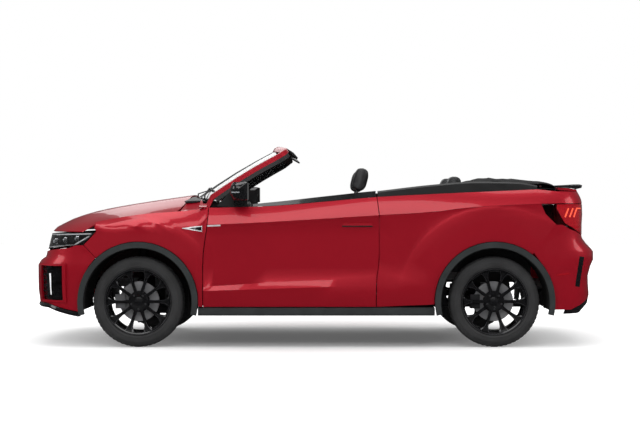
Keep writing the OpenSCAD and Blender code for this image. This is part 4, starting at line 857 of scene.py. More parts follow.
class HeadLamp:
    """One headlamp: clear cover, dark tub, light lines and two projectors."""

    TOP_LINE = ((1.640, 0.8375), (2.060, 0.8290))
    LOW_LINE = ((1.762, 0.7555), (2.060, 0.7305))
    RISING_LINE = ((1.655, 0.8200), (1.770, 0.7550))
    PROJECTORS = ((1.752, 0.800), (1.848, 0.789), (1.935, 0.779))
    LINE_HALF, LINE_DEPTH, LINE_THICK = 0.0042, -0.0042, 0.006
    BEZEL_LOW, BEZEL_HIGH = Vector((0.016, 0.016, 0.021)), Vector((0.012, 0.016, 0.021))
    BEHIND_COVER, LENS_AHEAD = (-0.004, 0.0235), 0.012

    def __init__(self, name: str, side: float) -> None:
        self.name = name
        self.side = side
        self.keep = facing(side, 1.0)

    def build(self) -> None:
        """Make every piece of the lamp."""
        patch(f"headlamp_cover_{self.name}", "headlamps", self.keep, (), 0.0, COVER_THICK, LAMP_GLASS,
              "body", ["headlamps"])
        patch(f"headlamp_tub_{self.name}", "headlamps",
              lambda m, n: self.side * m.y > 0 and not self.keep(m, n), (), 0.0, COVER_THICK, HOUSING, "body")
        for index, (start, end) in enumerate((self.TOP_LINE, self.LOW_LINE, self.RISING_LINE)):
            patch(f"headlamp_line_{index}_{self.name}", "headlamps", self.keep,
                  strip_cuts(start, end, self.LINE_HALF), self.LINE_DEPTH, self.LINE_THICK, LIGHT, "body")
        for index, place in enumerate(self.PROJECTORS):
            self._projector(index, place)

    def _projector(self, index: int, place: tuple[float, float]) -> None:
        x, z = place
        skin = surface("headlamps", (x, self.side * 1.2, z), (0, -self.side, 0))
        rearward, inward = self.BEHIND_COVER
        center = skin + Vector((rearward, -self.side * inward, 0))
        box_piece(f"headlamp_bezel_{index}_{self.name}", center - self.BEZEL_LOW, center + self.BEZEL_HIGH,
                  0.004, CHROME)
        lens = bmesh.new()
        ahead = Vector((self.LENS_AHEAD, 0, 0))
        matrix = Matrix.Translation(center + ahead) @ Matrix.Diagonal((0.55, 1, 1, 1))
        bmesh.ops.create_uvsphere(lens, u_segments=28, v_segments=16, radius=0.0145, matrix=matrix)
        add_piece(f"headlamp_lens_{index}_{self.name}", lens, LENS, "body")


class TailLamp:
    """One tail lamp: red cover over slanted light bars."""

    BARS = ((-1.862, 1.026), (-1.898, 1.026), (-1.932, 1.026))
    BAR_LEAN, BAR_DROP, BAR_HALF = 0.014, 0.066, 0.0055
    EDGE, EDGE_HALF = ((-1.940, 1.0250), (-1.985, 1.0250)), 0.0045
    LIFT, THICK = 0.0006, 0.006

    def __init__(self, name: str, side: float) -> None:
        self.name = name
        self.side = side
        self.keep = facing(side, -1.0)

    def build(self) -> None:
        """Make every piece of the lamp."""
        patch(f"tail_cover_{self.name}", "tail_lamps", self.keep, (), 0.0, COVER_THICK, RED_LENS, "body",
              ["tail_lamps"])
        patch(f"tail_tub_{self.name}", "tail_lamps",
              lambda m, n: self.side * m.y > 0 and not self.keep(m, n), (), 0.0, COVER_THICK, TAIL_TUB,
              "body")
        for index, (x, z) in enumerate(self.BARS):
            low, high = (x - self.BAR_LEAN, z), (x + self.BAR_LEAN, z - self.BAR_DROP)
            self._glow(f"tail_bar_{index}_{self.name}", strip_cuts(low, high, self.BAR_HALF))
        self._glow(f"tail_edge_{self.name}", strip_cuts(*self.EDGE, self.EDGE_HALF))

    def _glow(self, name: str, cuts: Sequence[Cut]) -> None:
        patch(name, "tail_lamps", self.keep, cuts, self.LIFT, self.THICK, TAIL_GLOW, "body")


class WingSpear:
    """Bright spear from the front wing onto the door, with a dark inset."""

    TIP_X, JOINT_X, DOOR_X, END_X = 0.973, 0.826, 0.812, 0.690
    TOP_Z, LOW_Z = 0.8800, 0.8760
    TOP_FACING, LOW_FACING = (-0.017, 0, -0.147), (-0.024, 0, 0.147)
    INSET_X, INSET_END, INSET = 0.052, 0.004, 0.0075
    DOOR_Z, DOOR_END_Z, DOOR_HALF = 0.8960, 0.9000, 0.0050
    LIFT, THICK, INSET_LIFT, INSET_THICK = 0.0035, 0.0033, 0.0045, 0.0012

    def __init__(self, name: str, side: float) -> None:
        self.name = name
        self.side = side

    def _wedge(self, start: float, end: float, inset: float) -> list[Cut]:
        """Planes round a wedge that widens to the rear.

        Args:
            start: Place of its point.
            end: Place of its wide end.
            inset: Distance from the outer wedge's edges.

        Returns:
            The planes.
        """
        return [Cut((self.TIP_X, 0, self.TOP_Z - inset), self.TOP_FACING),
                Cut((self.TIP_X, 0, self.LOW_Z + inset), self.LOW_FACING),
                Cut((start, 0, 0), (-1, 0, 0)), Cut((end, 0, 0), (1, 0, 0))]

    def build(self) -> None:
        """Make its wing and door parts."""
        keep, door = flank(self.side), f"door_{self.name}"
        outer = self._wedge(self.TIP_X, self.JOINT_X, 0.0)
        inner = self._wedge(self.TIP_X - self.INSET_X, self.JOINT_X + self.INSET_END, self.INSET)
        strip = strip_cuts((self.DOOR_X, self.DOOR_Z), (self.END_X, self.DOOR_END_Z), self.DOOR_HALF)
        for name, node, cuts, lift, thick, finish, body in (
                ("wing", "front_wings", outer, self.LIFT, self.THICK, BRIGHT, "body"),
                ("inset", "front_wings", inner, self.INSET_LIFT, self.INSET_THICK, GLOSS, "body"),
                ("door", door, strip, self.LIFT, self.THICK, BRIGHT, door)):
            patch(f"spear_{name}_{self.name}", node, keep, cuts, lift, thick, finish, body)


def copied(name: str, node: str, wanted: Wanted, finish: Finish, body: str,
           replaced: Sequence[str] = ()) -> bpy.types.Object:
    """Copy whole solids of a CAD node into a piece.

    Args:
        name: Piece name.
        node: The node.
        wanted: Tells from a solid's vertices whether it is copied.
        finish: Its finish.
        body: Body that it rides on.
        replaced: CAD nodes that it stands for.

    Returns:
        The piece.
    """
    return add_piece(name, node_form(node, wanted), finish, body, replaced)


class Grilles:
    """Grille bars, honeycomb corner inserts and their upright lights."""

    CELL_R = 0.0150
    ROWS, COLUMNS = 11, 12
    FIRST_Z = 0.358
    FIRST_TURN, TURN_STEP = 22.0, 2.55

    def build(self) -> None:
        """Make every piece of the grilles."""
        copied("grille_panels", "front_grilles", lambda g: not self._in_unit(g) or self._is_panel(g), GLOSS,
               "body", ["front_grilles"])
        for name, side in SIDES.items():
            housing = copied(f"corner_light_housing_{name}", "front_grilles",
                             lambda g, s=side: self._in_unit(g) and self._is_light(g) and g[0].co.y * s > 0,
                             HOUSING, "body")
            self._light_line(name, side, [vert.co.copy() for vert in housing.data.vertices])
            self._honeycomb(name, side)

    @staticmethod
    def _light_line(name: str, side: float, points: Sequence[Vector]) -> None:
        """Add the bright line on a corner light.

        Args:
            name: Side's name.
            side: +1 left, -1 right.
            points: Points of the light's housing.
        """
        low = [min(point[axis] for point in points) - 0.001 for axis in range(3)]
        high = [max(point[axis] for point in points) + 0.001 for axis in range(3)]
        middle = (low[0] + high[0]) / 2

        def keep(place: Vector, normal: Vector) -> bool:
            inside = all(low[axis] < place[axis] < high[axis] for axis in range(3))
            return inside and side * normal.y + normal.x > 0.9

        cuts = strip_cuts((middle + 0.003, high[2] - 0.002), (middle - 0.007, low[2] + 0.002), 0.0065)
        patch(f"corner_light_{name}", "front_grilles", keep, cuts, 0.0012, 0.0018, LIGHT, "body")

    @staticmethod
    def _in_unit(group: Sequence[bmesh.types.BMVert]) -> bool:
        """Whether a solid lies in one of the corner units."""
        low, high = span(group, 1)
        return (low > 0.5 or high < -0.5) and span(group, 2)[1] < 0.62

    @staticmethod
    def _is_panel(group: Sequence[bmesh.types.BMVert]) -> bool:
        """Whether a solid is the panel behind a unit."""
        low, high = span(group, 2)
        return high - low > 0.2

    @staticmethod
    def _is_light(group: Sequence[bmesh.types.BMVert]) -> bool:
        """Whether a solid is an upright light."""
        low, high = span(group, 2)
        return 0.1 < high - low < 0.2

    def _honeycomb(self, name: str, side: float) -> None:
        """Cover a corner unit's panel with six-sided cells.

        Args:
            name: Side's name.
            side: 1 on the left, -1 on the right.
        """
        panel = tree_of("front_grilles", lambda g: self._in_unit(g) and self._is_panel(g))
        form = bmesh.new()
        for row in range(self.ROWS):
            z = self.FIRST_Z + row * self.CELL_R * 1.5
            for column in range(self.COLUMNS):
                turn = math.radians(self.FIRST_TURN + (column + 0.5 * (row % 2)) * self.TURN_STEP)
                out = Vector((math.sin(turn), side * math.cos(turn), 0))
                place = panel.ray_cast(Vector((1.55, side * 0.45, z)) + out * 1.5, -out)[0]
                if place is not None:
                    self._cell(form, place, out)
        add_piece(f"honeycomb_{name}", form, GLOSS, "body")

    def _cell(self, form: bmesh.types.BMesh, place: Vector, out: Vector) -> None:
        """Add one six-sided cup.

        Args:
            form: Form that receives it.
            place: Its foot on the panel.
            out: Direction that it opens to.
        """
        turn_to = Vector((0, 0, 1)).rotation_difference(out).to_matrix().to_4x4()
        matrix = Matrix.Translation(place + out * 0.004) @ turn_to
        made = bmesh.ops.create_cone(form, cap_ends=True, segments=6, radius1=self.CELL_R * 0.97,
                                     radius2=self.CELL_R * 0.97, depth=0.008, matrix=matrix)["verts"]
        faces = {face for vert in made for face in vert.link_faces}
        mouth = max(faces, key=lambda face: face.calc_center_median().dot(out))
        bmesh.ops.inset_region(form, faces=[mouth], thickness=0.0026, depth=0.0)
        bmesh.ops.inset_region(form, faces=[mouth], thickness=0.0008, depth=-0.006)


class SteeringWheel:
    """Rim, spokes, airbag pad and switches of the steering wheel."""

    PLACE = (0.4487, 0.365, 0.905)
    TILT_DEG = -66.0
    RADIUS, GRIP = 0.166, 0.0158

    def build(self) -> None:
        """Make every piece of the wheel."""
        turn = Matrix.Translation(self.PLACE) @ Matrix.Rotation(math.radians(self.TILT_DEG), 4, "Y")
        grip = bmesh.new()
        section = [(self.RADIUS + across, 0.010 + up) for across, up in round_section(self.GRIP, 20)]
        verts = [grip.verts.new((r, 0, z)) for r, z in section]
        edges = [grip.edges.new((verts[i], verts[(i + 1) % 20])) for i in range(20)]
        bmesh.ops.spin(grip, geom=verts + edges, cent=(0, 0, 0), axis=(0, 0, 1), angle=math.tau, steps=96,
                       use_merge=True, use_normal_flip=False)
        merge(grip)
        self._placed("steering_grip", grip, turn, GRIP_LEATHER, ["steering_wheel"])
        spokes = bmesh.new()
        for degrees in (90, 180, 270):
            made = boxed(spokes, (0.045, -0.017, 0.001), (0.160, 0.017, 0.014), 0.004)
            turned(spokes, made, (0, 0, 0), "Z", degrees)
        self._placed("steering_spokes", spokes, turn, SATIN)
        pad = bmesh.new()
        bmesh.ops.create_cone(pad, cap_ends=True, segments=48, radius1=0.0615, radius2=0.056, depth=0.034,
                              matrix=Matrix.Translation((0, 0, 0.009)))
        top = [e for e in pad.edges if all(v.co.z > 0.02 for v in e.verts)]
        round_edges(pad, top, 0.007, 4)
        self._placed("steering_pad", pad, turn, CABIN)

    @staticmethod
    def _placed(name: str, form: bmesh.types.BMesh, turn: Matrix, finish: Finish,
                replaced: Sequence[str] = ()) -> None:
        bmesh.ops.transform(form, matrix=turn, verts=form.verts)
        add_piece(name, form, finish, "steering_wheel", replaced)


@dataclass(frozen=True)
class Cushion:
    """One soft part of a seat, as a rounded block that the simulation fills.

    Attributes:
        name: Its name.
        size: Length, width and thickness.
        place: Middle of the block.
        lean_deg: Turn about Y.
        bolster: Rise of its two sides.
        taper: Share by which its far end is narrower, or its near end if negative.
        channels: Places across it of sewn channels, as shares of its half width.
        cap: Furthest that a point may move.
    """
    name: str
    size: tuple[float, float, float]
    place: Point
    lean_deg: float
    bolster: float
    taper: float
    channels: tuple[float, ...]
    cap: float = 0.012


class Seats:
    """Padded seats: simulated once for each form and copied to its places."""

    VOXEL = 0.010
    FRONT = (
        Cushion("cushion", (0.490, 0.470, 0.100), (0.020, 0.0, 0.527), -3.0, 0.022, 0.06, (-0.52, 0.52)),
        Cushion("back", (0.560, 0.465, 0.082), (-0.268, 0.0, 0.851), 76.0, 0.030, -0.22, (-0.50, 0.50)),
        Cushion("headrest", (0.172, 0.238, 0.100), (-0.3546, 0.0, 1.2495), 76.0, 0.0, -0.18, (), 0.008),
    )
    REAR = (
        Cushion("cushion", (0.415, 0.510, 0.100), (-0.736, 0.0, 0.5545), -4.0, 0.014, 0.04, (-0.5, 0.0, 0.5)),
        Cushion("back", (0.470, 0.505, 0.082), (-0.9855, 0.0, 0.8352), 74.0, 0.014, -0.16, (-0.5, 0.0, 0.5)),
        Cushion("headrest", (0.172, 0.238, 0.100), (-1.0741, 0.0, 1.1875), 74.0, 0.0, -0.18, (), 0.008),
    )
    ROWS = (("front", "front_seats", FRONT, 0.365), ("rear", "rear_seat", REAR, 0.300))

    def build(self) -> None:
        """Make every seat."""
        for row, node, cushions, y in self.ROWS:
            for cushion in cushions:
                source = self._soft(f"{row}_seat_{cushion.name}", cushion)
                for name, side in SIDES.items():
                    self._place(source, f"{row}_{cushion.name}_{name}", cushion, side * y, node)
                bpy.data.meshes.remove(source)
            for name, side in SIDES.items():
                self._frame(row, name, cushions, side * y)

    def _soft(self, name: str, cushion: Cushion) -> bpy.types.Mesh:
        """Make and fill one cushion about the origin.

        Args:
            name: Name of the form.
            cushion: What it is like.

        Returns:
            The finished mesh.
        """
        form = bmesh.new()
        length, width, thick = cushion.size
        bmesh.ops.create_cube(form, size=1.0)
        bmesh.ops.subdivide_edges(form, edges=form.edges[:], cuts=15, use_grid_fill=True)
        for vert in form.verts:
            u, v, w = vert.co * 2
            round_u, round_v = (1 - abs(u) ** 6) ** 0.5, (1 - abs(v) ** 6) ** 0.5
            narrow = 1 - abs(cushion.taper) * (1 + math.copysign(1, cushion.taper) * u) / 2
            height = w * thick / 2 * (0.35 + 0.65 * round_u * round_v)
            rise = cushion.bolster * max(abs(v) - 0.55, 0) / 0.45 if w > 0 else 0
            vert.co = Vector((u * length / 2, v * width / 2 * narrow, height + rise * round_u))
        bmesh.ops.recalc_face_normals(form, faces=form.faces)
        mesh = bpy.data.meshes.new(name)
        form.to_mesh(mesh)
        form.free()
        mesh = self._simulate(name, mesh, cushion.cap)
        self._sew(mesh, cushion)
        return mesh

    def _simulate(self, name: str, mesh: bpy.types.Mesh, cap: float) -> bpy.types.Mesh:
        """Swell a mesh by cloth pressure.

        Args:
            name: Name of the form.
            mesh: Its start shape.
            cap: Furthest that a point may move.

        Returns:
            The swollen mesh.
        """
        scene = bpy.context.scene
        obj = bpy.data.objects.new(name, mesh)
        scene.collection.objects.link(obj)
        remesh = obj.modifiers.new("even", "REMESH")
        remesh.mode = "VOXEL"
        remesh.voxel_size = self.VOXEL
        even = bpy.data.meshes.new_from_object(obj.evaluated_get(bpy.context.evaluated_depsgraph_get()))
        obj.modifiers.clear()
        obj.data = even
        start = [vert.co.copy() for vert in even.vertices]
        cloth = obj.modifiers.new("fill", "CLOTH")
        cloth.settings.use_pressure = True
        cloth.settings.uniform_pressure_force = 4.0
        cloth.settings.quality = 4
        cloth.settings.mass = 0.3
        cloth.settings.effector_weights.gravity = 0
        cloth.point_cache.frame_start, cloth.point_cache.frame_end = 1, 20
        for number in range(1, 21):
            scene.frame_set(number)
        swollen = bpy.data.meshes.new_from_object(obj.evaluated_get(bpy.context.evaluated_depsgraph_get()))
        for vert, origin in zip(swollen.vertices, start):
            move = vert.co - origin
            if move.length > cap:
                vert.co = origin + move.normalized() * cap
        scene.frame_set(1)
        bpy.data.objects.remove(obj)
        log.info("%s: filled, %d points", name, len(start))
        return swollen

    @staticmethod
    def _sew(mesh: bpy.types.Mesh, cushion: Cushion) -> None:
        """Press the sewn channels and a seam round the edge."""
        half = cushion.size[1] / 2
        edge = cushion.size[2] * 0.18
        for vert in mesh.vertices:
            depth = 0.0
            if vert.co.z > 0:
                for share in cushion.channels:
                    depth += 0.007 * math.exp(-((vert.co.y - share * half) / 0.007) ** 2)
            inward = 0.0035 * math.exp(-((vert.co.z - edge) / 0.005) ** 2)
            flat = Vector((vert.co.x, vert.co.y, 0))
            if flat.length > 0 and abs(vert.normal.z) < 0.6:
                vert.co -= flat.normalized() * inward
            vert.co.z -= depth

    @staticmethod
    def _place(source: bpy.types.Mesh, name: str, cushion: Cushion, y: float, node: str) -> None:
        """Put a copy of a finished cushion in the car.

        Args:
            source: The cushion's mesh about the origin.
            name: Name of the piece.
            cushion: What it is like.
            y: Its seat's distance from the middle plane.
            node: CAD node that it stands for.
        """
        mesh = source.copy()
        lean = Matrix.Rotation(math.radians(cushion.lean_deg), 4, "Y")
        mesh.transform(Matrix.Translation((cushion.place[0], y, cushion.place[2])) @ lean)
        for polygon in mesh.polygons:
            polygon.use_smooth = True
        mesh.materials.clear()
        mesh.materials.append(MATERIALS.get(LEATHER))
        piece = bpy.data.objects.new(name, mesh)
        bpy.context.scene.collection.objects.link(piece)
        level = piece.modifiers.new("finish", "SUBSURF")
        level.levels = level.render_levels = 1
        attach(piece, "body")
        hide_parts(node)
        log.info("%s: placed", name)

    @staticmethod
    def _frame(row: str, name: str, cushions: Sequence[Cushion], y: float) -> None:
        """Add a seat's plinth, rails and headrest posts."""
        form = bmesh.new()
        front = row == "front"
        low, high = ((-0.20, 0.334), (0.24, 0.480)) if front else ((-0.93, 0.4905), (-0.55, 0.515))
        half = 0.19 if front else 0.22
        boxed(form, (low[0], y - half, high[1] - 0.02), (high[0], y + half, high[1] + 0.006), 0.006)
        if front:
            for offset in (-0.18, 0.18):
                boxed(form, (-0.19, y + offset - 0.016, 0.3205), (0.21, y + offset + 0.016, 0.462), 0.003)
        add_piece(f"{row}_seat_base_{name}", form, CABIN, "body")
        head, back = cushions[2], cushions[1]
        posts = bmesh.new()
        recline = math.radians(90 - back.lean_deg)
        up = Vector((-math.sin(recline), 0, math.cos(recline)))
        for offset in (-0.05, 0.05):
            middle = Vector((head.place[0], y + offset, head.place[2]))
            swept(posts, [middle - up * 0.15, middle - up * 0.06], round_section(0.0065), (0, 1, 0))
        add_piece(f"{row}_headrest_posts_{name}", posts, SATIN, "body")


def smooth(share: float) -> float:
    """Ease a share of 0 to 1."""
    share = min(max(share, 0.0), 1.0)
    return share * share * (3 - 2 * share)


def smooth_line(points: Sequence[tuple[float, float]], count: int) -> list[tuple[float, float]]:
    """Even points along a rounded line through given points.

    Args:
        points: Points that it passes.
        count: Points between each pair.

    Returns:
        The points of the line.
    """
    ends = [points[0], *points, points[-1]]
    line = []
    for index in range(1, len(ends) - 2):
        p0, p1, p2, p3 = (Vector(p) for p in ends[index - 1:index + 3])
        for step in range(count):
            t = step / count
            line.append(tuple(0.5 * (2 * p1 + (p2 - p0) * t + (2 * p0 - 5 * p1 + 4 * p2 - p3) * t * t
                                     + (3 * p1 - p0 - 3 * p2 + p3) * t ** 3)))
    return line + [tuple(points[-1])]


class FoldedTop:
    """The folded soft top: one fabric sheet laid in folds, with its bows and side covers."""

    LINE = ((-1.235, 1.152), (-1.500, 1.150), (-1.775, 1.152), (-1.800, 1.165), (-1.775, 1.180),
            (-1.500, 1.186), (-1.250, 1.190), (-1.222, 1.202), (-1.214, 1.222), (-1.222, 1.246),
            (-1.250, 1.258), (-1.330, 1.264), (-1.430, 1.261), (-1.580, 1.249), (-1.730, 1.236),
            (-1.790, 1.222), (-1.809, 1.196), (-1.811, 1.160))
    HALF_W = 0.684
    COLUMNS = 56
    BOWS = (-1.330, -1.520, -1.700)
    BOW_Z, BOW_SHARE, BOW_STEPS, BOW_R = 1.205, 0.97, 20, 0.009
    STACK_FRONT_X, CLOTH_THICK = -0.9, 0.0035
    FOOT_Z, FULL_RISE, EDGE_DROP, SINK = 1.150, 0.09, 0.30, 0.004

    def build(self) -> None:
        """Make every piece of the folded top."""
        copied("roof_side_covers", "folded_soft_top", lambda g: span(g, 0)[1] > self.STACK_FRONT_X, TRIM,
               "body", ["folded_soft_top"])
        line = smooth_line(self.LINE, 5)
        form = bmesh.new()
        verts = [form.verts.new((x, -self.HALF_W, z)) for x, z in line]
        edges = [form.edges.new(pair) for pair in zip(verts, verts[1:])]
        for _ in range(self.COLUMNS):
            made = bmesh.ops.extrude_edge_only(form, edges=edges)["geom"]
            edges = [item for item in made if isinstance(item, bmesh.types.BMEdge)]
            fresh = [item for item in made if isinstance(item, bmesh.types.BMVert)]
            bmesh.ops.translate(form, verts=fresh, vec=(0, 2 * self.HALF_W / self.COLUMNS, 0))
        for vert in form.verts:
            vert.co = self._settled(vert.co)
        piece = add_piece("folded_fabric", form, CANVAS, "body", ["folded_soft_top"], 60)
        thick = piece.modifiers.new("cloth_thickness", "SOLIDIFY")
        thick.thickness = self.CLOTH_THICK
        shares = [i * 2 / self.BOW_STEPS - 1 for i in range(self.BOW_STEPS + 1)]
        for index, x in enumerate(self.BOWS):
            path = [self._settled(Vector((x, self.HALF_W * self.BOW_SHARE * s, self.BOW_Z))) for s in shares]
            bar_piece(f"roof_bow_{index}", path, round_section(self.BOW_R), SATIN)

    def _settled(self, point: Vector) -> Vector:
        """Drop a point of the flat stack to where the fabric lies."""
        s = point.y / self.HALF_W
        height = point.z - self.FOOT_Z
        rise = height * (1 - self.EDGE_DROP * abs(s) ** 7)
        share = max(min(height / self.FULL_RISE, 1), 0)
        ridge = sum(0.0045 * math.exp(-((point.x - x) / 0.020) ** 2) for x in self.BOWS)
        wander = math.sin(point.x * 61 + 3.1 * math.sin(point.y * 7.3))
        fold = 0.0022 * wander * math.sin(point.y * 11 + point.x * 5)
        slump = 0.004 * math.cos(point.y * 8.5) * math.sin(point.x * 17)
        height = self.FOOT_Z + rise + share * (ridge + fold + slump - self.SINK)
        return Vector((point.x + 0.3 * fold, point.y, height))


class Cabin:
    """Dashboard, console, door cards, pedals and mats."""

    DASH = (
        ("instrument_hood", CABIN, ((0.700, 1.050), (0.640, 1.082), (0.560, 1.086), (0.515, 1.050),
                                    (0.530, 1.036), (0.700, 1.040)), 0.250, 0.480, 0.004),
        ("instrument_glass", GLOSS, ((0.548, 1.046), (0.556, 1.076), (0.560, 1.076), (0.552, 1.046)),
         0.262, 0.468, 0.001),
        ("centre_screen", GLOSS, ((0.556, 0.985), (0.566, 1.092), (0.578, 1.092), (0.568, 0.985)),
         -0.125, 0.125, 0.003),
    )
    GLOVEBOX = ("glovebox_lid", CABIN, ((0.5575, 0.800), (0.5335, 0.900), (0.5275, 0.900), (0.5515, 0.800)),
                -0.560, -0.190, 0.002)
    DOOR = (
        ("door_card", ((0.640, 0.452), (0.640, 0.965), (0.560, 0.998), (-0.330, 1.050), (-0.415, 1.020),
                       (-0.432, 0.452)), 0.8002, 0.7962, 0.0012),
        ("door_armrest", ((0.240, 0.690), (0.260, 0.730), (0.080, 0.742), (-0.250, 0.742), (-0.300, 0.725),
                          (-0.250, 0.690)), 0.7965, 0.742, 0.006),
        ("door_pocket", ((0.560, 0.470), (0.560, 0.560), (-0.260, 0.560), (-0.300, 0.470)), 0.7965, 0.765,
         0.005),
    )
    VENTS_Y = (-0.575, -0.075, 0.075, 0.575)
    VENT_X, VENT_Z, VENT_HALF_W, VENT_HALF_H = 0.523, 0.968, 0.050, 0.026
    VENT_DEPTH, VENT_EDGE, SLATS, SLAT_PITCH, SLAT_TURN = 0.020, 0.004, 4, 0.012, 18
    BOOT = ((0.551, 0.048, 0.0), (0.575, 0.040, 0.004), (0.600, 0.026, 0.008), (0.622, 0.014, 0.012))
    BOOT_X, BOOT_STRETCH, BOOT_POINTS = 0.170, 1.15, 16
    CUPS_X, CUP_Z = (0.020, -0.070), 0.5505
    CUP = ((0.034, 0.0), (0.038, 0.0), (0.0395, 0.003), (0.0380, 0.006), (0.034, 0.006), (0.0325, 0.003))
    PEDALS = ((0.445, 0.030), (0.365, 0.034), (0.275, 0.022))
    PEDAL_PLACE, PEDAL_TURN = (0.735, 0.425), -28
    MATS = ((0.300, 0.800), (-0.520, -0.260))

    def build(self) -> None:
        """Make every piece of the cabin."""
        self._dash()
        self._console()
        self._pedals()
        self._mats()
        self._mirror()
        for name, side in SIDES.items():
            self._door(name, side)

    @staticmethod
    def _plate(points: Pairs, y0: float, y1: float, bevel: float) -> bmesh.types.BMesh:
        """Make a plate from an outline in X and Z, between two Y values."""
        form = bmesh.new()
        verts = [form.verts.new((x, y0, z)) for x, z in points]
        face = form.faces.new(verts)
        made = bmesh.ops.extrude_face_region(form, geom=[face])["geom"]
        fresh = [item for item in made if isinstance(item, bmesh.types.BMVert)]
        bmesh.ops.translate(form, verts=fresh, vec=(0, y1 - y0, 0))
        if bevel > 0:
            round_edges(form, form.edges[:], bevel)
        return form

    def _dash(self) -> None:
        for name, finish, points, y0, y1, bevel in self.DASH:
            add_piece(name, self._plate(points, y0, y1, bevel), finish, "body")
        shelf = bmesh.new()
        for y0, y1 in ((-0.620, -0.140), (0.140, 0.620)):
            boxed(shelf, (0.520, y0, 0.9320), (0.552, y1, 0.9380), 0.0025)
        add_piece("dash_trim_line", shelf, SATIN, "body")
        for index, y in enumerate(self.VENTS_Y):
            self._vent(index, y)
        name, finish, points, y0, y1, bevel = self.GLOVEBOX
        add_piece(name, self._plate(points, y0, y1, bevel), finish, "body")

    def _vent(self, index: int, y: float) -> None:
        form = bmesh.new()
        x, z, w, h, edge = self.VENT_X, self.VENT_Z, self.VENT_HALF_W, self.VENT_HALF_H, self.VENT_EDGE
        back = x + self.VENT_DEPTH
        for low, high in (((x, y - w, z + h), (back, y + w, z + h + edge)),
                          ((x, y - w, z - h - edge), (back, y + w, z - h)),
                          ((x, y - w - edge, z - h), (back, y - w, z + h)),
                          ((x, y + w, z - h), (back, y + w + edge, z + h))):
            boxed(form, low, high, 0.001)
        for step in range(self.SLATS):
            level = z - h + 0.008 + step * self.SLAT_PITCH
            made = boxed(form, (x + 0.003, y - w, level - 0.001), (x + 0.013, y + w, level + 0.001), 0.0004)
            turned(form, made, (x + 0.008, y, level), "Y", self.SLAT_TURN)
        add_piece(f"air_vent_{index}", form, GLOSS, "body")

    def _console(self) -> None:
        turns = [math.tau * i / self.BOOT_POINTS for i in range(self.BOOT_POINTS)]
        skin_piece("gear_lever_boot", [[(self.BOOT_X + shift + half * self.BOOT_STRETCH * math.cos(turn),
                                         half * math.sin(turn), z) for turn in turns]
                                       for z, half, shift in self.BOOT], GRIP_LEATHER, smooth_deg=60)
        knob = bmesh.new()
        swept(knob, [(0.182, 0, 0.615), (0.185, 0, 0.650)], round_section(0.007), (0, 1, 0))
        matrix = Matrix.Translation((0.187, 0, 0.668)) @ Matrix.Diagonal((1.25, 0.95, 1.15, 1))
        bmesh.ops.create_uvsphere(knob, u_segments=24, v_segments=16, radius=0.023, matrix=matrix)
        add_piece("gear_lever", knob, GLOSS, "body")
        tray = bmesh.new()
        for x in self.CUPS_X:
            before = set(tray.verts)
            spun(tray, self.CUP, (0, 0, 0), 1.0, 40)
            fresh = [vert for vert in tray.verts if vert not in before]
            turned(tray, fresh, (0, 0, 0), "X", 90)
            bmesh.ops.translate(tray, verts=fresh, vec=(x, 0, self.CUP_Z))
        add_piece("cup_holder_rings", tray, SATIN, "body")
        piece = box_piece("console_armrest", (-0.418, -0.079, 0.6255), (-0.124, 0.079, 0.661), 0.012,
                          LEATHER, segments=4, smooth_deg=60)

    def _pedals(self) -> None:
        x, z = self.PEDAL_PLACE
        for index, (y, width) in enumerate(self.PEDALS):
            pad = bmesh.new()
            boxed(pad, (-0.004, -width, -0.026), (0.004, width, 0.026), 0.003)
            for step in (-0.014, 0.0, 0.014):
                low, high = (-0.0065, -width * 0.8, step - 0.0025), (-0.003, width * 0.8, step + 0.0025)
                boxed(pad, low, high, 0.0008)
            turned(pad, pad.verts, (0, 0, 0), "Y", self.PEDAL_TURN)
            bmesh.ops.translate(pad, verts=pad.verts, vec=(x, y, z))
            swept(pad, [(0.742, y, 0.430), (0.775, y, 0.500), (0.812, y, 0.585)], round_section(0.006, 8),
                  (0, 1, 0))
            add_piece(f"pedal_{index}", pad, STEEL, "body")

    def _mats(self) -> None:
        for name, side in SIDES.items():
            low_y, high_y = sorted((side * 0.125, side * 0.615))
            for row, (x0, x1) in enumerate(self.MATS):
                box_piece(f"floor_mat_{row}_{name}", (x0, low_y, 0.3205), (x1, high_y, 0.3265), 0.0025,
                          CARPET)

    @staticmethod
    def _mirror() -> None:
        form = bmesh.new()
        boxed(form, (-0.012, -0.115, -0.030), (0.012, 0.115, 0.030), 0.010, 4)
        turned(form, form.verts, (0, 0, 0), "Y", 8)
        bmesh.ops.translate(form, verts=form.verts, vec=(0.325, 0, 1.418))
        swept(form, [(0.332, 0, 1.435), (0.365, 0, 1.452)], round_section(0.006, 10), (0, 1, 0))
        add_piece("cabin_mirror", form, CABIN, "body", smooth_deg=60)

    def _door(self, name: str, side: float) -> None:
        body = f"door_{name}"
        for part, points, y0, y1, bevel in self.DOOR:
            add_piece(f"{part}_{name}", self._plate(points, side * y0, side * y1, bevel), CABIN, body)
        y = side * 0.790
        bar_piece(f"door_release_{name}", [(0.330, y, 0.850), (0.310, side * 0.780, 0.851),
                                           (0.240, side * 0.778, 0.851), (0.225, y, 0.850)],
                  round_section(0.0055, 10), CHROME, body)
        ring = bmesh.new()
        spun(ring, ((0.072, 0.0), (0.078, 0.0), (0.078, 0.004), (0.074, 0.006), (0.0, 0.0045)),
             (0.470, side * 0.7962, 0.640), -side, 48, closed=False)
        add_piece(f"door_speaker_{name}", ring, GLOSS, body)


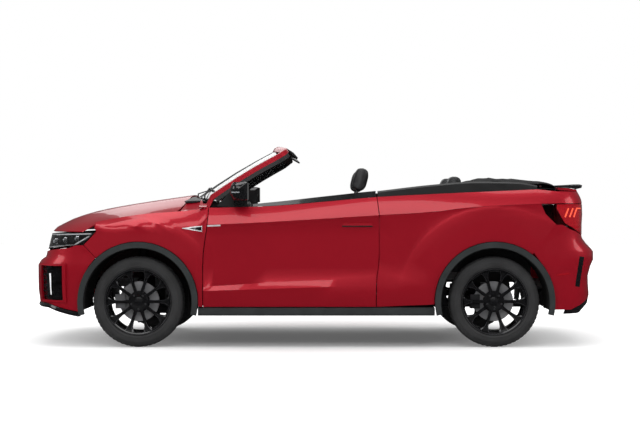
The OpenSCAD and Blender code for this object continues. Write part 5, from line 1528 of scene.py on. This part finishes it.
class Fittings:
    """Wipers, plates, mirrors, painted shade at the door handles, reflectors, windscreen edge and cowl."""

    WIPERS, WIPER_STEPS, WIPER_Z, WIPER_RISE = ((0.560, 0.060), (0.020, -0.480)), 8, 1.155, 0.03
    BLADE_OFF, ARM_OFF = Vector((0.004, 0, 0.005)), Vector((0.006, 0, 0.009))
    FOOT_OFF = Vector((0.003, 0, 0.006))
    ARM_REACH, ARM_FOOT = Vector((0.004, -0.05, 0.022)), 0.06
    BLADE = ((-0.003, -0.004), (0.003, -0.004), (0.0055, 0.002), (0.0, 0.006), (-0.0055, 0.002))
    ARM = ((-0.006, -0.003), (0.006, -0.003), (0.004, 0.004), (-0.004, 0.004))
    LIGHT_BAR = ((-0.002, -0.004), (0.002, -0.004), (0.002, 0.004), (-0.002, 0.004))
    FRONT_PLATE_X, FRONT_PLATE_Z, REAR_PLATE_Z = 2.1301, 0.476, 0.526
    SCREWS_Y, SCREW_OUT = (-0.150, 0.150), 0.0012
    SCREW = {"cap_ends": True, "segments": 20, "radius1": 0.0065, "radius2": 0.0065, "depth": 0.0022}
    PLATE_BARS = (((-0.262, -0.058), (0.262, -0.0545)), ((-0.262, 0.0545), (0.262, 0.058)),
                  ((-0.262, -0.058), (-0.2585, 0.058)), ((0.2585, -0.058), (0.262, 0.058)))
    PLATE_BACK, PLATE_FRONT = 0.0032, 0.0008
    BRAKE_LIGHT_Z, BRAKE_LIGHT_HALF, BRAKE_LIGHT_STEP, BRAKE_LIGHT_POINTS = 1.196, 0.18, 0.03, 13
    MIRROR_REAR, MIRROR_MIDDLE, MIRROR_REACH = 0.4835, 0.5530, 0.0615
    MIRROR_Y, MIRROR_Z, MIRROR_POINTS, SQUARENESS = 0.9585, 1.150, 40, 3.4
    MIRROR_LIP = ((0.007, 0.050, 0.077), (0.0, 0.0535, 0.0810), (0.0, 0.0605, 0.0880))
    MIRROR_TURNS, HEIGHT_POWER, WIDTH_POWER = (15, 30, 43, 55, 66, 76, 84), 0.72, 0.85
    INDICATOR_TURNS, INDICATOR_Y, INDICATOR_W, INDICATOR_Z = (-12, 0, 15, 28, 38, 47), 0.9590, 0.0955, 1.141
    SAIL_X, FOOT_Z = 0.70, 1.07
    # Strip of painted shade along each door handle: start, end and half width.
    HANDLE_SHADE = ((-0.205, 0.893), (-0.430, 0.893), 0.0045)
    REFLECTOR = ((-1.780, 0.533), (-1.885, 0.545), 0.005)
    SLOT = ((-1.978, 0.668), (-1.945, 0.446), 0.019)
    SEAL_Z, PILLAR_Z, LINING_Z, HEADER_X = 1.148, 1.1, 1.10, 0.205
    SQUARE_TO_GLASS = Vector((0.53, 0, 0.848))
    BONNET_HINGE, SWEEP_DEG, SWEEP_GAP = Vector((1.034, 0.0, 1.030)), 139, 0.006
    COWL_FIRST_Y, COWL_SPAN, COWL_STEPS = 0.200, 0.465, 12
    SHELF_HALF, SHELF_STEPS = 0.665, 24
    APRONS = ((0.8525, 0.640), (0.840, 0.700), (0.827, 0.7575), (0.810, 0.7575), (0.797, 0.7575))
    APRON_Y, APRON_STEPS, APRON_Z, APRON_RISE, APRON_THICK = 0.8440, 6, 1.0335, 0.062, 0.008

    def build(self) -> None:
        """Make every fitting."""
        self._wipers()
        self._plates()
        self._third_light()
        for name, side in SIDES.items():
            self._mirror(name, side)
            body, keep = f"door_{name}", facing(side, -1.0)
            # Thin black sheet on the door along the handle: painted shade of the handle's recess.
            patch(f"handle_recess_{name}", body, flank(side), strip_cuts(*self.HANDLE_SHADE), 0.0004, 0.0012, TRIM,
                  body)
            patch(f"rear_reflector_{name}", "rear_bumper", keep, strip_cuts(*self.REFLECTOR), 0.0012, 0.003,
                  RED_LENS, "body")
            patch(f"rear_slot_{name}", "rear_bumper", keep, strip_cuts(*self.SLOT), 0.0008, 0.002, GLOSS,
                  "body")
        self._screen_edge()
        self._cowl()

    def _wipers(self) -> None:
        for index, (y0, y1) in enumerate(self.WIPERS):
            form = bmesh.new()
            blade = []
            for step in range(self.WIPER_STEPS + 1):
                share = step / self.WIPER_STEPS
                start = (1.6, y0 + (y1 - y0) * share, self.WIPER_Z + self.WIPER_RISE * share)
                blade.append(surface("windscreen_glass", start, (-1, 0, 0)) + self.BLADE_OFF)
            swept(form, blade, self.BLADE)
            foot = self._glass_foot(y0 + self.ARM_FOOT) + self.FOOT_OFF
            swept(form, [foot, foot + self.ARM_REACH, blade[self.WIPER_STEPS // 2] + self.ARM_OFF], self.ARM)
            add_piece(f"wiper_{index}", form, TRIM, "body")

    def _plates(self) -> None:
        rear_x = surface("number_plates", (-3.0, 0.1, self.REAR_PLATE_Z), (1, 0, 0)).x
        for name, x, z, out in (("front", self.FRONT_PLATE_X, self.FRONT_PLATE_Z, 1.0),
                                ("rear", rear_x, self.REAR_PLATE_Z, -1.0)):
            form = bmesh.new()
            for y in self.SCREWS_Y:
                turn = Matrix.Rotation(math.radians(90), 4, "Y")
                matrix = Matrix.Translation((x + out * self.SCREW_OUT, y, z)) @ turn
                bmesh.ops.create_cone(form, matrix=matrix, **self.SCREW)
            round_edges(form, form.edges[:], 0.0006)
            add_piece(f"plate_screws_{name}", form, SATIN, "body")
            rim = bmesh.new()
            x0, x1 = sorted((x - out * self.PLATE_BACK, x + out * self.PLATE_FRONT))
            for low, high in self.PLATE_BARS:
                boxed(rim, (x0, low[0], z + low[1]), (x1, high[0], z + high[1]), 0.0004)
            add_piece(f"plate_frame_{name}", rim, TRIM, "body")

    def _third_light(self) -> None:
        line = [i * self.BRAKE_LIGHT_STEP - self.BRAKE_LIGHT_HALF for i in range(self.BRAKE_LIGHT_POINTS)]
        path = [surface("boot_spoiler", (-2.6, y, self.BRAKE_LIGHT_Z), (1, 0, 0)) + Vector((0.001, 0, 0))
                for y in line]
        bar_piece("third_brake_light", path, self.LIGHT_BAR, RED_LENS, "boot_lid")

    def _mirror_ring(self, side: float, x: float, height: float, width: float) -> list[Point]:
        """Rounded ring round the mirror head at one length station."""
        ring = []
        for step in range(self.MIRROR_POINTS):
            turn = math.tau * step / self.MIRROR_POINTS
            c, s = math.cos(turn), math.sin(turn)
            reach = (abs(c) ** self.SQUARENESS + abs(s) ** self.SQUARENESS) ** (-1 / self.SQUARENESS)
            ring.append((x, side * (self.MIRROR_Y + c * reach * width), self.MIRROR_Z + s * reach * height))
        return ring

    def _mirror(self, name: str, side: float) -> None:
        """Make a mirror's shell, foot, sail, glass and indicator."""
        rear, middle, reach = self.MIRROR_REAR, self.MIRROR_MIDDLE, self.MIRROR_REACH
        body, node = f"door_{name}", f"mirror_{name}"
        rings = [self._mirror_ring(side, rear + ahead, height, width)
                 for ahead, height, width in self.MIRROR_LIP]
        for share in (0.3, 0.6, 1.0):
            rings.append(self._mirror_ring(side, rear + (middle - rear) * share, 0.0605 + 0.0045 * share,
                                           0.0880 + 0.0070 * share))
        for turn in map(math.radians, self.MIRROR_TURNS):
            height = 0.065 * math.cos(turn) ** self.HEIGHT_POWER
            width = 0.095 * math.cos(turn) ** self.WIDTH_POWER
            rings.append(self._mirror_ring(side, middle + reach * math.sin(turn), height, width))
        skin_piece(f"mirror_shell_{name}", rings, GLOSS, body, (node,))
        skin_piece(f"mirror_glass_{name}", [self._mirror_ring(side, rear + offset, 0.0485, 0.0755)
                                            for offset in (0.0025, 0.0065)], CHROME, body)
        copied(f"mirror_foot_{name}", node,
               lambda g: span(g, 0)[1] < self.SAIL_X and span(g, 2)[0] < self.FOOT_Z, GLOSS, body)
        copied(f"mirror_sail_{name}", node, lambda g: span(g, 0)[1] > self.SAIL_X, TRIM, body)
        line = [(middle + reach * math.sin(turn),
                 side * (self.INDICATOR_Y + self.INDICATOR_W * math.cos(turn) ** self.WIDTH_POWER),
                 self.INDICATOR_Z) for turn in map(math.radians, self.INDICATOR_TURNS)]
        bar_piece(f"mirror_indicator_{name}", line, self.LIGHT_BAR, LENS, body)

    def _screen_edge(self) -> None:
        """Make the windscreen's printed edge, painted frame, black lining and visor."""
        patch("windscreen_seal", "windscreen_glass", lambda m, n: n.x > 0.2 and n.z > 0,
              (Cut((0, 0, self.SEAL_Z), (0, 0, -1)),), 0.0006, 0.0012, GLOSS, "body")
        copied("windscreen_pillars", "windscreen_frame", lambda g: span(g, 2)[0] < self.PILLAR_Z, PAINT,
               "body", ("windscreen_frame",))
        copied("header_visor", "windscreen_frame", lambda g: span(g, 2)[0] > self.PILLAR_Z, TRIM, "body")
        square = self.SQUARE_TO_GLASS
        above = (Cut((0, 0, self.LINING_Z), (0, 0, 1)), Cut((self.HEADER_X, 0, 0), (1, 0, 0)))
        patch("windscreen_lining", "windscreen_frame", lambda m, n: n.dot(square) < -0.72, above,
              0.030, 0.0295, TRIM, "body")
        patch("windscreen_lining_edge", "windscreen_frame",
              lambda m, n: n.y * math.copysign(1, m.y) < -0.45 and n.dot(square) > -0.72, above,
              0.0006, 0.0005, TRIM, "body")

    @staticmethod
    def _glass_foot(y: float) -> Vector:
        """Point of the windscreen's lower edge at distance y from the middle."""
        share = (y / 0.712) ** 2
        return Vector((0.924 - 0.131 * share, y, 1.116 - 0.026 * share))

    def _cowl(self) -> None:
        """Fill round the windscreen's foot: cowl, dash shelf and painted aprons."""
        for name, side in SIDES.items():
            panel = [self._cowl_ring(side, step) for step in range(self.COWL_STEPS + 1)]
            skin_piece(f"cowl_panel_{name}", panel, TRIM)
        rings = []
        for step in range(self.SHELF_STEPS + 1):
            y = self.SHELF_HALF * (step * 2 / self.SHELF_STEPS - 1)
            glass = self._glass_foot(y)
            rings.append([(glass.x - 0.009, y, glass.z - 0.005), (0.690, y, 1.0665), (0.690, y, 1.0500),
                          (glass.x - 0.034, y, 1.030)])
        skin_piece("dash_shelf", rings, CABIN)
        for name, side in SIDES.items():
            skin_piece(f"pillar_apron_{name}", [self._apron_ring(side, *row) for row in self.APRONS], PAINT)

    def _cowl_ring(self, side: float, step: int) -> list[Point]:
        """Section of a cowl panel, whose front edge stays outside the bonnet's sweep."""
        y, hinge = self.COWL_FIRST_Y + self.COWL_SPAN * step / self.COWL_STEPS, self.BONNET_HINGE
        glass = self._glass_foot(y)
        rear = 0.949 + 0.063 * (y / 0.880) ** 4
        top = surface("bonnet", (rear + 0.014, side * y, 1.5), (0, 0, -1)).z
        reach = math.hypot(rear - hinge.x, top - hinge.z) + self.SWEEP_GAP
        turn = math.radians(self.SWEEP_DEG)
        x, z = hinge.x + reach * math.cos(turn), hinge.z + reach * math.sin(turn)
        return [(x, side * y, z), (glass.x + 0.006, side * y, glass.z - 0.006),
                (glass.x + 0.004, side * y, glass.z - 0.018), (x - 0.010, side * y, z - 0.012)]

    def _apron_ring(self, side: float, x: float, inner: float) -> list[Point]:
        """Section of the painted apron beside the windscreen's foot."""
        tops = []
        for step in range(self.APRON_STEPS + 1):
            y = self.APRON_Y + (inner - self.APRON_Y) * step / self.APRON_STEPS
            rise = min(1.0, (0.8800 - y) / 0.240)
            tops.append((x, side * y, self.APRON_Z + self.APRON_RISE * smooth(rise * 0.9)))
        return tops + [(x, y, z - self.APRON_THICK) for x, y, z in reversed(tops)]


class EngineBay:
    """What shows under the open bonnet."""

    RIBS, RIB_PITCH = 5, 0.09
    FINS, FIN_PITCH, FIRST_FIN_Z = 24, 0.010, 0.540
    HOSE = ((1.600, -0.200, 0.800), (1.680, -0.190, 0.820), (1.760, -0.220, 0.800), (1.850, -0.240, 0.740))

    def build(self) -> None:
        """Make every piece of the engine bay."""
        cover = bmesh.new()
        boxed(cover, (1.150, -0.260, 0.8815), (1.600, 0.260, 0.930), 0.014, 3)
        for step in range(self.RIBS):
            y = step * self.RIB_PITCH
            boxed(cover, (1.190, -0.200 + y, 0.929), (1.560, -0.165 + y, 0.937), 0.003)
        add_piece("engine_cover", cover, CABIN, "body")
        box_piece("battery_case", (1.010, 0.100, 0.600), (1.110, 0.330, 0.790), 0.006, TRIM)
        tank = bmesh.new()
        boxed(tank, (1.660, -0.440, 0.640), (1.800, -0.300, 0.800), 0.022, 4)
        swept(tank, [(1.730, -0.370, 0.795), (1.730, -0.370, 0.822)], round_section(0.026, 20), (0, 1, 0))
        add_piece("coolant_tank", tank, PLATE, "body")
        radiator = bmesh.new()
        boxed(radiator, (1.845, -0.360, 0.530), (1.868, 0.360, 0.778), 0.003)
        for step in range(self.FINS):
            z = self.FIRST_FIN_Z + step * self.FIN_PITCH
            boxed(radiator, (1.867, -0.350, z - 0.0016), (1.872, 0.350, z + 0.0016), 0.0)
        add_piece("radiator", radiator, ALLOY, "body")
        bar_piece("radiator_hose", self.HOSE, round_section(0.018, 14), RUBBER, smooth_deg=60)


@dataclass(frozen=True)
class Lamp:
    """A soft studio light.

    Attributes:
        place: Its position.
        aim: The point it looks at.
        size: Width and height in metres.
        power: Watts.
    """
    place: Point
    aim: Point
    size: tuple[float, float]
    power: float


class Studio:
    """Floor, light and camera."""

    LAMPS = (
        Lamp((0.0, 1.0, 6.5), (0.0, 0.2, 0.5), (7.0, 5.0), 260),
        Lamp((1.0, 8.0, 5.2), (0.0, 0.9, 0.9), (8.0, 2.6), 170),
        Lamp((-6.5, 2.5, 3.5), (-1.0, 0.4, 0.7), (3.0, 3.0), 70),
        Lamp((7.0, 2.0, 3.5), (1.0, 0.4, 0.7), (3.0, 3.0), 70),
        Lamp((0.0, -7.0, 4.0), (0.0, -0.9, 0.7), (7.0, 3.0), 90),
    )
    CAMERA_PLACE, CAMERA_TURN_DEG = (-0.0427, 10.88, 0.9907), (90, 0, 180)
    LENS_MM, SENSOR_MM = 76.4, 36.0
    FLOOR_HALF = 30
    WHITE, PALE = (1, 1, 1, 1), (0.80, 0.80, 0.80, 1)
    GLOW_NEAR, GLOW_FAR = {"From Min": 1.0, "To Min": 0.10}, {"From Max": 4.5, "To Max": 1.0}
    FLOOR_MIRRORED = 0.03
    SKY, SKY_MIRRORED, SKY_SEEN = 0.55, 0.10, 1.0

    def build(self) -> None:
        """Make everything round the car."""
        self._floor()
        for index, lamp in enumerate(self.LAMPS):
            self._light(index, lamp)
        self._world()
        self._camera()

    @staticmethod
    def _aim(obj: bpy.types.Object, aim: Point) -> None:
        obj.rotation_euler = (Vector(aim) - obj.location).to_track_quat("-Z", "Y").to_euler()

    def _light(self, index: int, lamp: Lamp) -> None:
        data = bpy.data.lights.new(f"soft_{index}", "AREA")
        data.shape = "RECTANGLE"
        data.size, data.size_y = lamp.size
        data.energy = lamp.power
        obj = bpy.data.objects.new(data.name, data)
        obj.location = lamp.place
        bpy.context.scene.collection.objects.link(obj)
        self._aim(obj, lamp.aim)

    def _floor(self) -> None:
        """Make the pale floor, which looks white to the camera and dark in reflections."""
        mesh = bpy.data.meshes.new("floor")
        form = bmesh.new()
        bmesh.ops.create_grid(form, x_segments=1, y_segments=1, size=self.FLOOR_HALF)
        form.to_mesh(mesh)
        form.free()
        floor = bpy.data.objects.new("floor", mesh)
        bpy.context.scene.collection.objects.link(floor)
        material = bpy.data.materials.new("floor_pale")
        material.use_nodes = True
        tree = material.node_tree
        shader = tree.nodes["Principled BSDF"]
        set_inputs(shader, {"Base Color": self.PALE, "Roughness": 0.9, "Specular IOR Level": 0.1,
                            "Emission Color": self.WHITE})
        coords, path = add_node(tree, "TexCoord"), add_node(tree, "LightPath")
        distance = add_node(tree, "VectorMath", operation="LENGTH")
        fade = add_node(tree, "MapRange", {**self.GLOW_NEAR, **self.GLOW_FAR})
        seen = add_node(tree, "Math", operation="MULTIPLY")
        dim = add_node(tree, "Emission", {"Strength": self.FLOOR_MIRRORED})
        link_all(tree, (coords.outputs["Object"], distance.inputs[0]),
                 (distance.outputs["Value"], fade.inputs["Value"]),
                 (fade.outputs["Result"], seen.inputs[0]), (path.outputs["Is Camera Ray"], seen.inputs[1]),
                 (seen.outputs["Value"], shader.inputs["Emission Strength"]))
        mirrored = self._either(tree, path.outputs["Is Glossy Ray"], shader, dim)
        tree.links.new(mirrored.outputs[0], tree.nodes["Material Output"].inputs["Surface"])
        mesh.materials.append(material)

    @staticmethod
    def _either(tree: bpy.types.NodeTree, choice: bpy.types.NodeSocket, usual: bpy.types.Node,
                other: bpy.types.Node) -> bpy.types.Node:
        """Mix two shaders by a kind of ray.

        Args:
            tree: Tree that holds them.
            choice: 1 where the other shader counts.
            usual: Shader elsewhere.
            other: Shader for those rays.

        Returns:
            The mix.
        """
        mix = add_node(tree, "MixShader")
        link_all(tree, (choice, mix.inputs[0]), (usual.outputs[0], mix.inputs[1]),
                 (other.outputs[0], mix.inputs[2]))
        return mix

    def _world(self) -> None:
        """Light the scene evenly; the camera sees white and reflections see grey."""
        world = bpy.data.worlds.new("studio")
        bpy.context.scene.world = world
        world.use_nodes = True
        tree = world.node_tree
        soft = tree.nodes["Background"]
        set_inputs(soft, {"Color": self.WHITE, "Strength": self.SKY})
        dark = add_node(tree, "Background", {"Color": self.WHITE, "Strength": self.SKY_MIRRORED})
        white = add_node(tree, "Background", {"Color": self.WHITE, "Strength": self.SKY_SEEN})
        path = add_node(tree, "LightPath")
        shiny = self._either(tree, path.outputs["Is Glossy Ray"], soft, dark)
        mix = self._either(tree, path.outputs["Is Camera Ray"], shiny, white)
        tree.links.new(mix.outputs[0], tree.nodes["World Output"].inputs[0])

    def _camera(self) -> None:
        data = bpy.data.cameras.new("camera")
        data.lens = self.LENS_MM
        data.sensor_width = self.SENSOR_MM
        camera = bpy.data.objects.new("camera", data)
        camera.location = self.CAMERA_PLACE
        camera.rotation_euler = [math.radians(turn) for turn in self.CAMERA_TURN_DEG]
        bpy.context.scene.collection.objects.link(camera)
        bpy.context.scene.camera = camera


def main() -> None:
    """Build the scene."""
    bpy.context.scene.view_settings.view_transform = "Standard"
    dress_nodes()
    for place in WHEELS:
        Wheel(place).build()
    for name, side in SIDES.items():
        HeadLamp(name, side).build()
        TailLamp(name, side).build()
        WingSpear(name, side).build()
    Grilles().build()
    SteeringWheel().build()
    Seats().build()
    FoldedTop().build()
    Cabin().build()
    Fittings().build()
    EngineBay().build()
    Studio().build()


if __name__ == "__main__":
    main()
